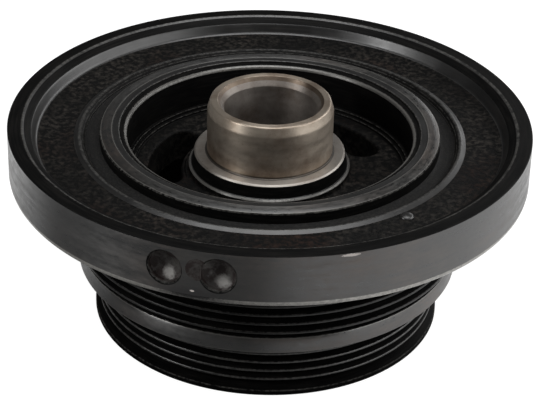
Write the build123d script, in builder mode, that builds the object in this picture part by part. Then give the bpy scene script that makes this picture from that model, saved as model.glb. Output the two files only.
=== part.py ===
from build123d import *

import os
from math import cos, radians, sin, tan

# Crankshaft pulley with a torsional vibration damper, in millimetres.
# The shaft axis is Z and the engine side is up. Z = 0 is the front face, on which the pulley stands.
# Three pieces: the cast hub with both belt groove sets, the inertia ring round its neck,
# and the rubber ring bonded between them.

# Poly-V belt section, shared by both groove sets
GROOVE_PITCH = 3.56
GROOVE_DEPTH = 3.1
GROOVE_ANGLE = 40.0
GROOVE_ROOT_WIDTH = 0.5

# Front groove set, counted up from the front face
FRONT_GROOVE_COUNT = 5
FRONT_LAND_HEIGHT = 1.6
FRONT_LAND_CHAMFER = 0.4
FRONT_FIRST_GROOVE = 4.1
FRONT_LAST_GROOVE_TO_LAND = 3.36

# Rear groove set
REAR_GROOVE_COUNT = 6
REAR_LAST_GROOVE_TO_TOP = 6.2
DRUM_SHOULDER_WIDTH = 8.8
DRUM_TOP_CHAMFER = 0.7

# Land between the two sets: a cylinder that rounds into a cone above it, with a chamfer below
MIDDLE_LAND_DROP = 0.3
MIDDLE_LAND_CHAMFER = 0.8
MIDDLE_LAND_STRAIGHT = 4.0
MIDDLE_LAND_CONE_DROP = 0.9
MIDDLE_LAND_CONE_TO_GROOVE = 3.1
MIDDLE_LAND_FILLET = 6.0

# Recess on the engine side, with two narrow ledges at the foot of its wall
RECESS_DEPTH = 17.0
LEDGE_WIDTH = 1.2
LEDGE_RISE = 1.1
LEDGE_FOOT_FILLET = 0.7
FLOOR_FILLET = 1.4

# Rim round the recess: a narrow step and slope, then a flat out to the neck
RIM_STEP_WIDTH = 2.7
RIM_STEP_DEPTH = 0.9
RIM_SLOPE_DEPTH = 0.5
RIM_EDGE_FILLET = 0.9
RIM_WIDTH = 7.1
RIM_SET_BACK = 3.0
NECK_FOOT_FILLET = 1.2
NECK_TOP_FILLET = 1.1

# Machined sleeve that enters the engine, and the bore for the crankshaft nose
BORE_RADIUS = 17.0
BORE_LEAD_WIDTH = 2.4
BORE_LEAD_LENGTH = 3.0
BORE_DEPTH = 52.0
SLEEVE_WALL = 6.0
SLEEVE_LENGTH = 20.2
SLEEVE_LEAD_WIDTH = 1.0
SLEEVE_LEAD_LENGTH = 3.4
SLEEVE_FOOT_FILLET = 0.6

# Boss in the middle of the web: shoulder, cone and machined collar face
COLLAR_WIDTH = 4.7
COLLAR_CHAMFER = 0.45
CONE_TAPER = 0.8
CONE_HEIGHT = 5.0
SHOULDER_WIDTH = 1.2
SHOULDER_HEIGHT = 3.0
SHOULDER_CHAMFER = 0.5

# Web between the two recesses, with its cast windows
WEB_THICKNESS = 12.0
WINDOW_COUNT = 3
WINDOW_SPAN = 62.0
WINDOW_FIRST_ANGLE = 49.0
WINDOW_FROM_SHOULDER = 2.7
WINDOW_WIDTH = 12.2
WINDOW_TO_LEDGE = 5.2
WINDOW_END_FLAT = 1.4
WINDOW_EDGE_FILLET = 1.2
WINDOW_DRAFT = 3.0

# Front side: an open recess round the bolt seat
FRONT_RECESS_UNDERCUT = 2.8
FRONT_WALL = 4.9
FRONT_RECESS_LEAD = 1.0
FRONT_RECESS_FILLET = 5.0
SEAT_RADIUS = 27.0
SEAT_TAPER = 2.5
SEAT_ROOT_FILLET = 3.4
SEAT_WALL = 8.4
SEAT_EDGE_CHAMFER = 1.0
BOLT_HOLE_RADIUS = 9.5
BOLT_HOLE_CHAMFER = 0.8

# Rubber ring between the neck and the inertia ring
RUBBER_THICKNESS = 5.4
RUBBER_TOP_DROP = 1.3
RUBBER_BOTTOM_DROP = 1.0
RUBBER_HOLLOW = 0.8

# Inertia ring: a collar round the rubber, and the flange above it
RING_TO_DRUM_GAP = 2.2
RING_BORE_CHAMFER = 0.8
RING_COLLAR_WIDTH = 10.6
RING_COLLAR_DEPTH = 1.7
RING_COLLAR_SLOPE = 2.0
FLANGE_HEIGHT = 20.1
FLANGE_EDGE_CHAMFER = 0.3
FLANGE_FOOT_FILLET = 2.4

# Engine side of the flange: land, slope and step down to a sunk face, which a lip ends at the bore
FLANGE_LAND_WIDTH = 5.3
FLANGE_SLOPE_WIDTH = 3.3
FLANGE_SLOPE_DROP = 2.1
FACE_STEP_WIDTH = 1.7
FACE_WIDTH = 13.0
FACE_DROP = 6.0
FACE_FILLET = 1.8
LIP_FROM_BORE = 0.9
LIP_WIDTH = 3.6
LIP_HEIGHT = 0.7
LIP_FILLET = 0.6

# Balance drillings in the flange's side, and a cast pip on its face
DRILLING_RADIUS = 5.9
DRILLING_DEPTH = 2.4
DRILLING_BELOW_LAND = 8.95
DRILLING_ANGLES = (249.4, 260.6)
DIMPLE_RADIUS = 4.2
DIMPLE_ANGLE = 256.4
DIMPLE_RISE = 1.4
DRILL_POINT_ANGLE = 118.0
DRILL_RUN_OUT = 4.0
PIP_RADIUS = 2.4
PIP_HEIGHT = 0.9
PIP_ANGLE = 310.2
PIP_FROM_LIP = 2.0

# Radii that follow from the sizes above, outwards from the bore
bore_lead_radius = BORE_RADIUS + BORE_LEAD_WIDTH
sleeve_radius = BORE_RADIUS + SLEEVE_WALL
sleeve_lead_radius = sleeve_radius - SLEEVE_LEAD_WIDTH
collar_radius = sleeve_radius + COLLAR_WIDTH
cone_foot_radius = collar_radius + CONE_TAPER
shoulder_radius = cone_foot_radius + SHOULDER_WIDTH
window_inner_radius = shoulder_radius + WINDOW_FROM_SHOULDER
window_outer_radius = window_inner_radius + WINDOW_WIDTH
window_corner = (WINDOW_WIDTH - WINDOW_END_FLAT) / 2
ledge_radius = window_outer_radius + WINDOW_TO_LEDGE
recess_radius = ledge_radius + 2 * LEDGE_WIDTH
rim_step_radius = recess_radius + RIM_STEP_WIDTH
neck_radius = rim_step_radius + RIM_WIDTH
rear_rib_radius = neck_radius + DRUM_SHOULDER_WIDTH
middle_land_radius = rear_rib_radius - MIDDLE_LAND_DROP
middle_cone_radius = middle_land_radius - MIDDLE_LAND_CONE_DROP
front_recess_radius = recess_radius + FRONT_RECESS_UNDERCUT
front_rib_radius = front_recess_radius + FRONT_WALL + GROOVE_DEPTH
front_land_radius = front_rib_radius + FRONT_LAND_HEIGHT
seat_root_radius = SEAT_RADIUS + SEAT_TAPER
rubber_middle_radius = neck_radius + RUBBER_THICKNESS / 2
ring_bore_radius = neck_radius + RUBBER_THICKNESS
ring_collar_radius = ring_bore_radius + RING_COLLAR_WIDTH
lip_inner_radius = ring_bore_radius + LIP_FROM_BORE
lip_outer_radius = lip_inner_radius + LIP_WIDTH
face_radius = lip_outer_radius + FACE_WIDTH
flange_slope_radius = face_radius + FACE_STEP_WIDTH
flange_land_radius = flange_slope_radius + FLANGE_SLOPE_WIDTH
flange_radius = flange_land_radius + FLANGE_LAND_WIDTH
pip_distance = lip_outer_radius + PIP_FROM_LIP
dome_radius = (PIP_RADIUS**2 + PIP_HEIGHT**2) / (2 * PIP_HEIGHT)

# Heights that follow from the sizes above
front_last_groove = FRONT_FIRST_GROOVE + (FRONT_GROOVE_COUNT - 1) * GROOVE_PITCH
middle_land_bottom = front_last_groove + FRONT_LAST_GROOVE_TO_LAND
middle_land_top = middle_land_bottom + MIDDLE_LAND_STRAIGHT
rear_first_groove = middle_land_top + MIDDLE_LAND_CONE_TO_GROOVE
rear_last_groove = rear_first_groove + (REAR_GROOVE_COUNT - 1) * GROOVE_PITCH
drum_top = rear_last_groove + REAR_LAST_GROOVE_TO_TOP
ring_bottom = drum_top + RING_TO_DRUM_GAP
flange_bottom = ring_bottom + RING_COLLAR_DEPTH
flange_top = flange_bottom + FLANGE_HEIGHT
drilling_height = flange_top - DRILLING_BELOW_LAND
slope_foot = flange_top - FLANGE_SLOPE_DROP
face_height = flange_top - FACE_DROP
lip_top = face_height + LIP_HEIGHT
rim_top = flange_top - RIM_SET_BACK
rim_step = rim_top - RIM_STEP_DEPTH
web_top = rim_top - RECESS_DEPTH
web_bottom = web_top - WEB_THICKNESS
lower_ledge = web_top + LEDGE_RISE
upper_ledge = lower_ledge + LEDGE_RISE
shoulder_top = web_top + SHOULDER_HEIGHT
collar_top = shoulder_top + CONE_HEIGHT
sleeve_top = collar_top + SLEEVE_LENGTH
bore_floor = sleeve_top - BORE_DEPTH
seat_height = bore_floor - SEAT_WALL
rubber_top = face_height - RUBBER_TOP_DROP
rubber_bottom = ring_bottom + RUBBER_BOTTOM_DROP


def groove_half_width(radius, root_radius):
    """Half the width of a belt groove at a radius on its flanks."""
    return GROOVE_ROOT_WIDTH / 2 + (radius - root_radius) * tan(radians(GROOVE_ANGLE / 2))


def groove_set(first, count, rib_radius, land_radius):
    """Outline of a groove set, upwards. The land below it may be higher or lower than its ribs."""
    root = rib_radius - GROOVE_DEPTH
    points = []
    for i in range(count):
        centre = first + i * GROOVE_PITCH
        below = land_radius if i == 0 else rib_radius
        points += [
            (below, centre - groove_half_width(below, root)),
            (root, centre - GROOVE_ROOT_WIDTH / 2),
            (root, centre + GROOVE_ROOT_WIDTH / 2),
            (rib_radius, centre + groove_half_width(rib_radius, root)),
        ]
    return points


def corner(sketch, radius, height):
    """Corner of a half section that lies nearest to a radius and a height."""
    return sketch.vertices().sort_by_distance((radius, height, 0))[0]


def rim_plane(angle, height):
    """Plane on the flange's side, facing outwards, at an angle about the shaft."""
    outward = (cos(radians(angle)), sin(radians(angle)), 0)
    origin = (flange_radius * outward[0], flange_radius * outward[1], height)
    return Plane(origin=origin, x_dir=(0, 0, 1), z_dir=outward)


def drill(plane, radius, depth):
    """Blind drilling with a drill-point bottom, cut from a plane on the surface."""
    point = radius / tan(radians(DRILL_POINT_ANGLE / 2))
    upwards = (Align.CENTER, Align.CENTER, Align.MIN)
    with Locations(plane.offset(-depth)):
        Cylinder(radius, depth + DRILL_RUN_OUT, align=upwards, mode=Mode.SUBTRACT)
    with Locations(plane.offset(-depth - point)):
        Cone(0, radius, point, align=upwards, mode=Mode.SUBTRACT)


# Outline of the hub, from the front face up the outside to the rim
outside = [
    (front_recess_radius + FRONT_RECESS_LEAD, 0),
    (front_land_radius - FRONT_LAND_CHAMFER, 0),
    (front_land_radius, FRONT_LAND_CHAMFER),
    *groove_set(FRONT_FIRST_GROOVE, FRONT_GROOVE_COUNT, front_rib_radius, front_land_radius),
    (front_rib_radius, middle_land_bottom),
    (middle_land_radius - MIDDLE_LAND_CHAMFER, middle_land_bottom),
    (middle_land_radius, middle_land_bottom + MIDDLE_LAND_CHAMFER),
    (middle_land_radius, middle_land_top),
    *groove_set(rear_first_groove, REAR_GROOVE_COUNT, rear_rib_radius, middle_cone_radius),
    (rear_rib_radius, drum_top - DRUM_TOP_CHAMFER),
    (rear_rib_radius - DRUM_TOP_CHAMFER, drum_top),
    (neck_radius, drum_top),
    (neck_radius, rim_top),
]

# From the rim down the recess to its floor
recess = [
    (rim_step_radius, rim_top),
    (rim_step_radius, rim_step),
    (recess_radius, rim_step - RIM_SLOPE_DEPTH),
    (recess_radius, upper_ledge),
    (ledge_radius + LEDGE_WIDTH, upper_ledge),
    (ledge_radius + LEDGE_WIDTH, lower_ledge),
    (ledge_radius, lower_ledge),
    (ledge_radius, web_top),
]

# Up the boss and the sleeve, and down the bore to the bolt seat
boss = [
    (shoulder_radius, web_top),
    (shoulder_radius, shoulder_top - SHOULDER_CHAMFER),
    (shoulder_radius - SHOULDER_CHAMFER, shoulder_top),
    (cone_foot_radius, shoulder_top),
    (collar_radius, collar_top - COLLAR_CHAMFER),
    (collar_radius - COLLAR_CHAMFER, collar_top),
    (sleeve_radius, collar_top),
    (sleeve_radius, sleeve_top - SLEEVE_LEAD_LENGTH),
    (sleeve_lead_radius, sleeve_top),
    (bore_lead_radius, sleeve_top),
    (BORE_RADIUS, sleeve_top - BORE_LEAD_LENGTH),
    (BORE_RADIUS, bore_floor),
    (BOLT_HOLE_RADIUS, bore_floor),
    (BOLT_HOLE_RADIUS, seat_height + BOLT_HOLE_CHAMFER),
    (BOLT_HOLE_RADIUS + BOLT_HOLE_CHAMFER, seat_height),
]

# Out along the front recess, back to the front face
front = [
    (SEAT_RADIUS - SEAT_EDGE_CHAMFER, seat_height),
    (SEAT_RADIUS, seat_height + SEAT_EDGE_CHAMFER),
    (seat_root_radius, web_bottom),
    (front_recess_radius, web_bottom),
    (front_recess_radius, FRONT_RECESS_LEAD),
]

with BuildPart() as hub:
    with BuildSketch(Plane.XZ) as hub_section:
        with BuildLine():
            Polyline(*outside, *recess, *boss, *front, close=True)
        make_face()
        fillet(corner(hub_section, middle_land_radius, middle_land_top), MIDDLE_LAND_FILLET)
        fillet(corner(hub_section, neck_radius, drum_top), NECK_FOOT_FILLET)
        fillet(corner(hub_section, neck_radius, rim_top), NECK_TOP_FILLET)
        fillet(corner(hub_section, recess_radius, rim_step - RIM_SLOPE_DEPTH), RIM_EDGE_FILLET)
        fillet(corner(hub_section, ledge_radius, web_top), LEDGE_FOOT_FILLET)
        fillet(corner(hub_section, shoulder_radius, web_top), FLOOR_FILLET)
        fillet(corner(hub_section, sleeve_radius, collar_top), SLEEVE_FOOT_FILLET)
        fillet(corner(hub_section, seat_root_radius, web_bottom), SEAT_ROOT_FILLET)
        fillet(corner(hub_section, front_recess_radius, web_bottom), FRONT_RECESS_FILLET)
    revolve(axis=Axis.Z)

    # Kidney windows through the web, cast with draft and rounded edges
    with BuildSketch(Plane.XY.offset(web_top)) as windows:
        for i in range(WINDOW_COUNT):
            start = WINDOW_FIRST_ANGLE + i * 360 / WINDOW_COUNT - WINDOW_SPAN / 2
            with BuildLine():
                outer = CenterArc((0, 0), window_outer_radius, start, WINDOW_SPAN)
                inner = CenterArc((0, 0), window_inner_radius, start, WINDOW_SPAN)
                Line(outer @ 0, inner @ 0)
                Line(outer @ 1, inner @ 1)
            make_face()
        fillet(windows.vertices(), window_corner)
    extrude(amount=-WEB_THICKNESS, taper=WINDOW_DRAFT, mode=Mode.SUBTRACT)
    fillet(hub.edges(Select.LAST).group_by(Axis.Z)[-1], WINDOW_EDGE_FILLET)

with BuildPart() as inertia_ring:
    with BuildSketch(Plane.XZ) as ring_section:
        with BuildLine():
            Polyline(
                (ring_bore_radius + RING_BORE_CHAMFER, ring_bottom),
                (ring_collar_radius, ring_bottom),
                (ring_collar_radius + RING_COLLAR_SLOPE, flange_bottom),
                (flange_radius, flange_bottom),
                (flange_radius, flange_top - FLANGE_EDGE_CHAMFER),
                (flange_radius - FLANGE_EDGE_CHAMFER, flange_top),
                (flange_land_radius, flange_top),
                (flange_slope_radius, slope_foot),
                (face_radius, face_height),
                (lip_outer_radius, face_height),
                (lip_outer_radius, lip_top),
                (lip_inner_radius, lip_top),
                (ring_bore_radius, face_height - RING_BORE_CHAMFER),
                (ring_bore_radius, ring_bottom + RING_BORE_CHAMFER),
                close=True,
            )
        make_face()
        fillet(corner(ring_section, flange_radius, flange_bottom), FLANGE_FOOT_FILLET)
        fillet(corner(ring_section, face_radius, face_height), FACE_FILLET)
        fillet(corner(ring_section, flange_slope_radius, slope_foot), FACE_FILLET)
        fillet(corner(ring_section, lip_outer_radius, lip_top), LIP_FILLET)
        fillet(corner(ring_section, lip_inner_radius, lip_top), LIP_FILLET)
    revolve(axis=Axis.Z)

    for angle in DRILLING_ANGLES:
        drill(rim_plane(angle, drilling_height), DRILLING_RADIUS, DRILLING_DEPTH)
    drill(rim_plane(DIMPLE_ANGLE, drilling_height + DIMPLE_RISE), DIMPLE_RADIUS, 0)

    # A low dome left by the casting on the face
    with PolarLocations(pip_distance, 1, start_angle=PIP_ANGLE):
        with Locations((0, 0, face_height + PIP_HEIGHT - dome_radius)):
            Sphere(dome_radius)

with BuildPart() as rubber_ring:
    with BuildSketch(Plane.XZ):
        with BuildLine():
            Line((neck_radius, rubber_bottom), (neck_radius, rubber_top))
            ThreePointArc(
                (neck_radius, rubber_top),
                (rubber_middle_radius, rubber_top - RUBBER_HOLLOW),
                (ring_bore_radius, rubber_top),
            )
            Line((ring_bore_radius, rubber_top), (ring_bore_radius, rubber_bottom))
            ThreePointArc(
                (ring_bore_radius, rubber_bottom),
                (rubber_middle_radius, rubber_bottom + RUBBER_HOLLOW),
                (neck_radius, rubber_bottom),
            )
        make_face()
    revolve(axis=Axis.Z)

hub.part.label = "hub"
inertia_ring.part.label = "inertia_ring"
rubber_ring.part.label = "rubber_ring"

os.makedirs("parts", exist_ok=True)
export_step(hub.part, "parts/hub.step")
export_step(inertia_ring.part, "parts/inertia_ring.step")
export_step(rubber_ring.part, "parts/rubber_ring.step")
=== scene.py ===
"""Looks of a crankshaft pulley with a torsional damper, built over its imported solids.

The shaft axis is Z, the engine side is up and Z = 0 is the front face. The sizes of the pieces are
millimetres, as a maker writes them, and become metres in their meshes. The studio is in metres.
Angles are degrees. Every sub-assembly is a class: it outlines its turned pieces, repeats what
repeats, and gives each surface its finish.
"""

import logging
import math
from dataclasses import dataclass, field
from enum import IntEnum
from typing import Any, Iterable, Optional

import bmesh
import bpy
from mathutils import Matrix, Vector


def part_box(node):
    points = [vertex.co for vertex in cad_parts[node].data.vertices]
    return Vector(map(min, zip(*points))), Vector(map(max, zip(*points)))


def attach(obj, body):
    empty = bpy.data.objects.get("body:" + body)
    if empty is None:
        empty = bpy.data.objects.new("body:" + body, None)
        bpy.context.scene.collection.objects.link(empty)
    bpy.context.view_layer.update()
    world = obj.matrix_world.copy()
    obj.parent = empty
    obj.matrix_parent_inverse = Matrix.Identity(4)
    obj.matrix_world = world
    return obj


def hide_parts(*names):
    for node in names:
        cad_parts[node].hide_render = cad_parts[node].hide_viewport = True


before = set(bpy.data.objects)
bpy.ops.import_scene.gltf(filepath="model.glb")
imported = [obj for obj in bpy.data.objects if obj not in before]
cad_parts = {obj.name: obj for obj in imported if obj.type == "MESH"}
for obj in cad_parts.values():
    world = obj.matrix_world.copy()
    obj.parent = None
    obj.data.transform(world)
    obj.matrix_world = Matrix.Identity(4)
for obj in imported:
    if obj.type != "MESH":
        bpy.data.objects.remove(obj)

LOG = logging.getLogger("pulley")
MM = 0.001
BODY = "root"
WELD = 2e-6

TURN_INPUTS = (("Segments", "NodeSocketInt", 180), ("Start Angle", "NodeSocketFloat", 0.0))

Socket = bpy.types.NodeSocket
Node = bpy.types.Node
Triple = tuple[float, float, float]
Places = list[tuple[float, float]]


class Finish(IntEnum):
    """What a stretch of a turned outline is finished as. An open one is left out, and the web closes it."""

    OPEN = -1
    CAST = 0
    TURNED = 1
    PAINTED = 2
    BARE = 3
    DRILLED = 4
    RUBBER = 5
    RUBBED = 6
    BORED = 7
    STAINED = 8
    # The crest finish is a darker, duller copy of the rubbed paint, painted shade on the rear crests under
    # the flange.
    SHADED_CREST = 9
    COLLAR = 10


class Graph:
    """A node tree under construction, for shaders and for geometry."""

    def __init__(self, tree: bpy.types.NodeTree) -> None:
        """Wraps a tree.

        Args:
            tree: The tree to fill.
        """
        self.tree = tree

    def add(self, kind: str, inputs: Optional[dict[Any, Any]] = None, **settings: Any) -> Node:
        """Adds a node.

        Args:
            kind: Blender's name of the node type.
            inputs: What goes into each socket, by name or number: a value or another node's socket.
            **settings: Properties of the node, set before its sockets.

        Returns:
            The new node.
        """
        node = self.tree.nodes.new(kind)
        for name, value in settings.items():
            setattr(node, name, value)
        for name, value in (inputs or {}).items():
            socket = node.inputs[name]
            if isinstance(value, Socket):
                self.tree.links.new(value, socket)
            else:
                socket.default_value = value
        return node

    def times(self, one: Any, other: Any) -> Socket:
        """Multiplies two values, numbers or sockets."""
        return self.math("MULTIPLY", one, other)

    def math(self, operation: str, *values: Any) -> Socket:
        """Adds a math node and returns its result.

        Args:
            operation: The operation's name.
            *values: Its operands, numbers or sockets.

        Returns:
            The result's socket.
        """
        node = self.add("ShaderNodeMath", dict(enumerate(values)), operation=operation)
        return node.outputs[0]

    def whole(self, operation: str, *values: Any) -> Socket:
        """Adds a whole-number math node and returns its result.

        Args:
            operation: The operation's name.
            *values: Its operands, whole numbers or sockets.

        Returns:
            The result's socket.
        """
        node = self.add("FunctionNodeIntegerMath", dict(enumerate(values)), operation=operation)
        return node.outputs[0]


class GeometryGraph(Graph):
    """A Geometry Nodes tree with named inputs."""

    def __init__(self, name: str, inputs: Iterable[tuple[str, str, Any]]) -> None:
        """Makes a tree that takes geometry and named inputs, and gives geometry.

        Args:
            name: The tree's name.
            inputs: Name, socket type and default of each input after the geometry.
        """
        super().__init__(bpy.data.node_groups.new(name, "GeometryNodeTree"))
        sockets = self.tree.interface
        sockets.new_socket("Geometry", in_out="INPUT", socket_type="NodeSocketGeometry")
        for label, kind, default in inputs:
            made = sockets.new_socket(label, in_out="INPUT", socket_type=kind)
            if default is not None:
                made.default_value = default
        sockets.new_socket("Geometry", in_out="OUTPUT", socket_type="NodeSocketGeometry")
        self.source = self.add("NodeGroupInput").outputs

    def attribute(self, name: str, kind: str) -> Socket:
        """Reads a named attribute.

        Args:
            name: The attribute's name.
            kind: Its data type.

        Returns:
            The attribute's socket.
        """
        node = self.add("GeometryNodeInputNamedAttribute", {"Name": name}, data_type=kind)
        return node.outputs["Attribute"]

    def has_finish(self, finish: Finish) -> Socket:
        """Tells which faces carry a finish."""
        inputs = {2: self.attribute("finish", "INT"), 3: int(finish)}
        return self.add("FunctionNodeCompare", inputs, data_type="INT", operation="EQUAL").outputs[0]

    def store(self, mesh: Socket, name: str, value: Socket, kind: str, domain: str) -> Socket:
        """Writes a value to a mesh as a named attribute.

        Args:
            mesh: The mesh.
            name: The attribute's name.
            value: Its value.
            kind: Its data type.
            domain: Whether points or faces carry it.

        Returns:
            The mesh with the attribute.
        """
        inputs = {"Geometry": mesh, "Name": name, "Value": value}
        return self.add("GeometryNodeStoreNamedAttribute", inputs, data_type=kind, domain=domain).outputs[0]

    def finish(self, geometry: Socket, finishes: Iterable[tuple[Finish, Socket]]) -> None:
        """Ends the tree: real geometry, then one material for each finish.

        Args:
            geometry: What the tree has made.
            finishes: Each finish and the socket of its material.
        """
        shown = self.add("GeometryNodeRealizeInstances", {"Geometry": geometry}).outputs[0]
        for finish, material in finishes:
            shown = self.add(
                "GeometryNodeSetMaterial",
                {"Geometry": shown, "Selection": self.has_finish(finish), "Material": material},
            ).outputs[0]
        self.add("NodeGroupOutput", {"Geometry": shown})


def turning_tree() -> bpy.types.NodeTree:
    """Makes the tree that turns an outline about the shaft, as a lathe does.

    The outline is a row of points in the XZ plane. Each carries "finish", the finish of the stretch
    up to the next point, and "edge", above 0 on rubbed edges and below 0 in concave corners, which darken.

    Returns:
        The node tree, for use as a group.
    """
    graph = GeometryGraph("Turn outline", TURN_INPUTS)
    outline = graph.source["Geometry"]
    segments = graph.source["Segments"]
    rows = graph.add("GeometryNodeAttributeDomainSize", {"Geometry": outline}).outputs["Point Count"]
    columns = graph.whole("ADD", segments, 1)
    grid = graph.add("GeometryNodeMeshGrid", {"Vertices X": rows, "Vertices Y": columns}).outputs["Mesh"]
    index = graph.add("GeometryNodeInputIndex").outputs[0]
    row = graph.whole("DIVIDE_FLOOR", index, columns)
    column = graph.whole("MODULO", index, columns)

    def from_outline(value: Socket, at: Socket, kind: str) -> Socket:
        """Reads a value at a point of the outline.

        Args:
            value: The value, in the outline.
            at: The point's number.
            kind: The value's data type.

        Returns:
            The value's socket.
        """
        node = graph.add("GeometryNodeSampleIndex", data_type=kind, domain="POINT")
        graph.tree.links.new(outline, node.inputs["Geometry"])
        graph.tree.links.new(value, node.inputs["Value"])
        graph.tree.links.new(at, node.inputs["Index"])
        return node.outputs[0]

    step = graph.math("DIVIDE", 2 * math.pi, segments)
    angle = graph.math("MULTIPLY_ADD", column, step, graph.source["Start Angle"])
    place = graph.add("GeometryNodeInputPosition").outputs[0]
    turned = graph.add(
        "ShaderNodeVectorRotate",
        {"Vector": from_outline(place, row, "FLOAT_VECTOR"), "Angle": angle},
        rotation_type="Z_AXIS",
    ).outputs[0]
    mesh = graph.add("GeometryNodeSetPosition", {"Geometry": grid, "Position": turned}).outputs[0]
    edge = from_outline(graph.attribute("edge", "FLOAT"), row, "FLOAT")
    mesh = graph.store(mesh, "edge", edge, "FLOAT", "POINT")
    face_row = graph.whole("DIVIDE_FLOOR", index, segments)
    finish = from_outline(graph.attribute("finish", "INT"), face_row, "INT")
    mesh = graph.store(mesh, "finish", finish, "INT", "FACE")
    left_out = {"Geometry": mesh, "Selection": graph.has_finish(Finish.OPEN)}
    mesh = graph.add("GeometryNodeDeleteGeometry", left_out, domain="FACE").outputs[0]
    mesh = graph.add("GeometryNodeMergeByDistance", {"Geometry": mesh, "Distance": WELD}).outputs[0]
    mesh = graph.add("GeometryNodeSetShadeSmooth", {"Geometry": mesh}).outputs[0]
    graph.add("NodeGroupOutput", {"Geometry": mesh})
    return graph.tree


@dataclass
class Trees:
    """The Geometry Nodes trees that make what is turned and what repeats."""

    turning: bpy.types.NodeTree = field(init=False)
    turned_body: bpy.types.NodeTree = field(init=False)
    belt_ribs: bpy.types.NodeTree = field(init=False)
    window_ring: bpy.types.NodeTree = field(init=False)

    def __post_init__(self) -> None:
        """Builds the trees, the shared one first."""
        self.turning = turning_tree()
        self.turned_body = self.make_turned_body()
        self.belt_ribs = self.make_belt_ribs()
        self.window_ring = self.make_window_ring()

    @staticmethod
    def finish_inputs() -> list[tuple[str, str, Any]]:
        """Names one material input for each finish."""
        return [(f.name.title(), "NodeSocketMaterial", None) for f in Finish if f is not Finish.OPEN]

    @staticmethod
    def finish_sockets(graph: GeometryGraph) -> list[tuple[Finish, Socket]]:
        """Pairs each finish with its material input in a tree."""
        return [(f, graph.source[f.name.title()]) for f in Finish if f is not Finish.OPEN]

    def turned(self, graph: GeometryGraph, outline: Socket) -> Socket:
        """Turns an outline with the shared tree, by the segments and start angle of the tree that uses it."""
        inputs = {0: outline, 1: graph.source["Segments"], 2: graph.source["Start Angle"]}
        return graph.add("GeometryNodeGroup", inputs, node_tree=self.turning).outputs[0]

    def make_turned_body(self) -> bpy.types.NodeTree:
        """Makes the tree of one turned body: its outline, turned and given its finishes.

        Returns:
            The node tree.
        """
        graph = GeometryGraph("Turned body", [*TURN_INPUTS, *self.finish_inputs()])
        graph.finish(self.turned(graph, graph.source["Geometry"]), self.finish_sockets(graph))
        return graph.tree

    def make_belt_ribs(self) -> bpy.types.NodeTree:
        """Makes the tree of a belt groove set: one rib's outline, repeated along the shaft, then turned.

        Returns:
            The node tree.
        """
        graph = GeometryGraph("Belt ribs", [
            *TURN_INPUTS,
            ("Ribs", "NodeSocketInt", 1),
            ("Pitch", "NodeSocketFloat", 0.0),
            *self.finish_inputs(),
        ])
        rise = graph.add("ShaderNodeCombineXYZ", {"Z": graph.source["Pitch"]}).outputs[0]
        line = graph.add("GeometryNodeMeshLine", {"Count": graph.source["Ribs"], "Offset": rise}).outputs[0]
        rib = graph.source["Geometry"]
        copies = graph.add("GeometryNodeInstanceOnPoints", {"Points": line, "Instance": rib})
        outline = graph.add("GeometryNodeRealizeInstances", {"Geometry": copies.outputs[0]}).outputs[0]
        graph.finish(self.turned(graph, outline), self.finish_sockets(graph))
        return graph.tree

    def make_window_ring(self) -> bpy.types.NodeTree:
        """Makes the tree of the web: one sector with its window, repeated about the shaft.

        Returns:
            The node tree.
        """
        graph = GeometryGraph("Window ring", [("Windows", "NodeSocketInt", 1), *self.finish_inputs()])
        windows = graph.source["Windows"]
        line = graph.add("GeometryNodeMeshLine", {"Count": windows, "Offset": (0, 0, 0)}).outputs[0]
        index = graph.add("GeometryNodeInputIndex").outputs[0]
        step = graph.math("DIVIDE", 2 * math.pi, windows)
        turn = graph.add("ShaderNodeCombineXYZ", {"Z": graph.times(index, step)}).outputs[0]
        rotation = graph.add("FunctionNodeEulerToRotation", {0: turn}).outputs[0]
        copies = graph.add(
            "GeometryNodeInstanceOnPoints",
            {"Points": line, "Instance": graph.source["Geometry"], "Rotation": rotation},
        )
        joined = graph.add("GeometryNodeRealizeInstances", {"Geometry": copies.outputs[0]}).outputs[0]
        joined = graph.add("GeometryNodeMergeByDistance", {"Geometry": joined, "Distance": WELD}).outputs[0]
        graph.finish(joined, self.finish_sockets(graph))
        return graph.tree


def apply_tree(piece: bpy.types.Object, tree: bpy.types.NodeTree, inputs: dict[str, Any]) -> None:
    """Runs a Geometry Nodes tree on a piece and keeps the result as its plain mesh.

    Args:
        piece: The object whose mesh goes into the tree.
        tree: The tree.
        inputs: A value for each named input.
    """
    modifier = piece.modifiers.new(tree.name, "NODES")
    modifier.node_group = tree
    sockets = {s.name: s.identifier for s in tree.interface.items_tree if s.in_out == "INPUT"}
    for name, value in inputs.items():
        modifier[sockets[name]] = value
    bake_modifiers(piece)


def bake_modifiers(piece: bpy.types.Object) -> None:
    """Turns a piece's evaluated shape into its plain mesh and removes its modifiers.

    Args:
        piece: The object.
    """
    bpy.context.view_layer.update()
    shape = piece.evaluated_get(bpy.context.evaluated_depsgraph_get())
    mesh = bpy.data.meshes.new_from_object(shape)
    old = piece.data
    piece.modifiers.clear()
    piece.data = mesh
    mesh.name = piece.name
    bpy.data.meshes.remove(old)


def new_piece(name: str, mesh: bpy.types.Mesh) -> bpy.types.Object:
    """Links a new object that shows a mesh.

    Args:
        name: The object's name.
        mesh: Its mesh.

    Returns:
        The object.
    """
    piece = bpy.data.objects.new(name, mesh)
    bpy.context.scene.collection.objects.link(piece)
    return piece


@dataclass(frozen=True)
class Corner:
    """One corner of an outline.

    Attributes:
        radius: Its distance from the shaft's axis.
        height: Its height along the shaft.
        finish: The finish of the stretch after it.
        blend: The radius that it is rounded to.
        rub: How rubbed it is, where its blend radius doesn't tell: 1 is as rubbed as the coat gets,
            and more bares the metal.
    """

    radius: float
    height: float
    finish: Finish
    blend: float
    rub: Optional[float] = None


@dataclass(frozen=True)
class OutlinePoint:
    """One point of a finished outline."""

    radius: float
    height: float
    finish: Finish
    edge: float


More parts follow.
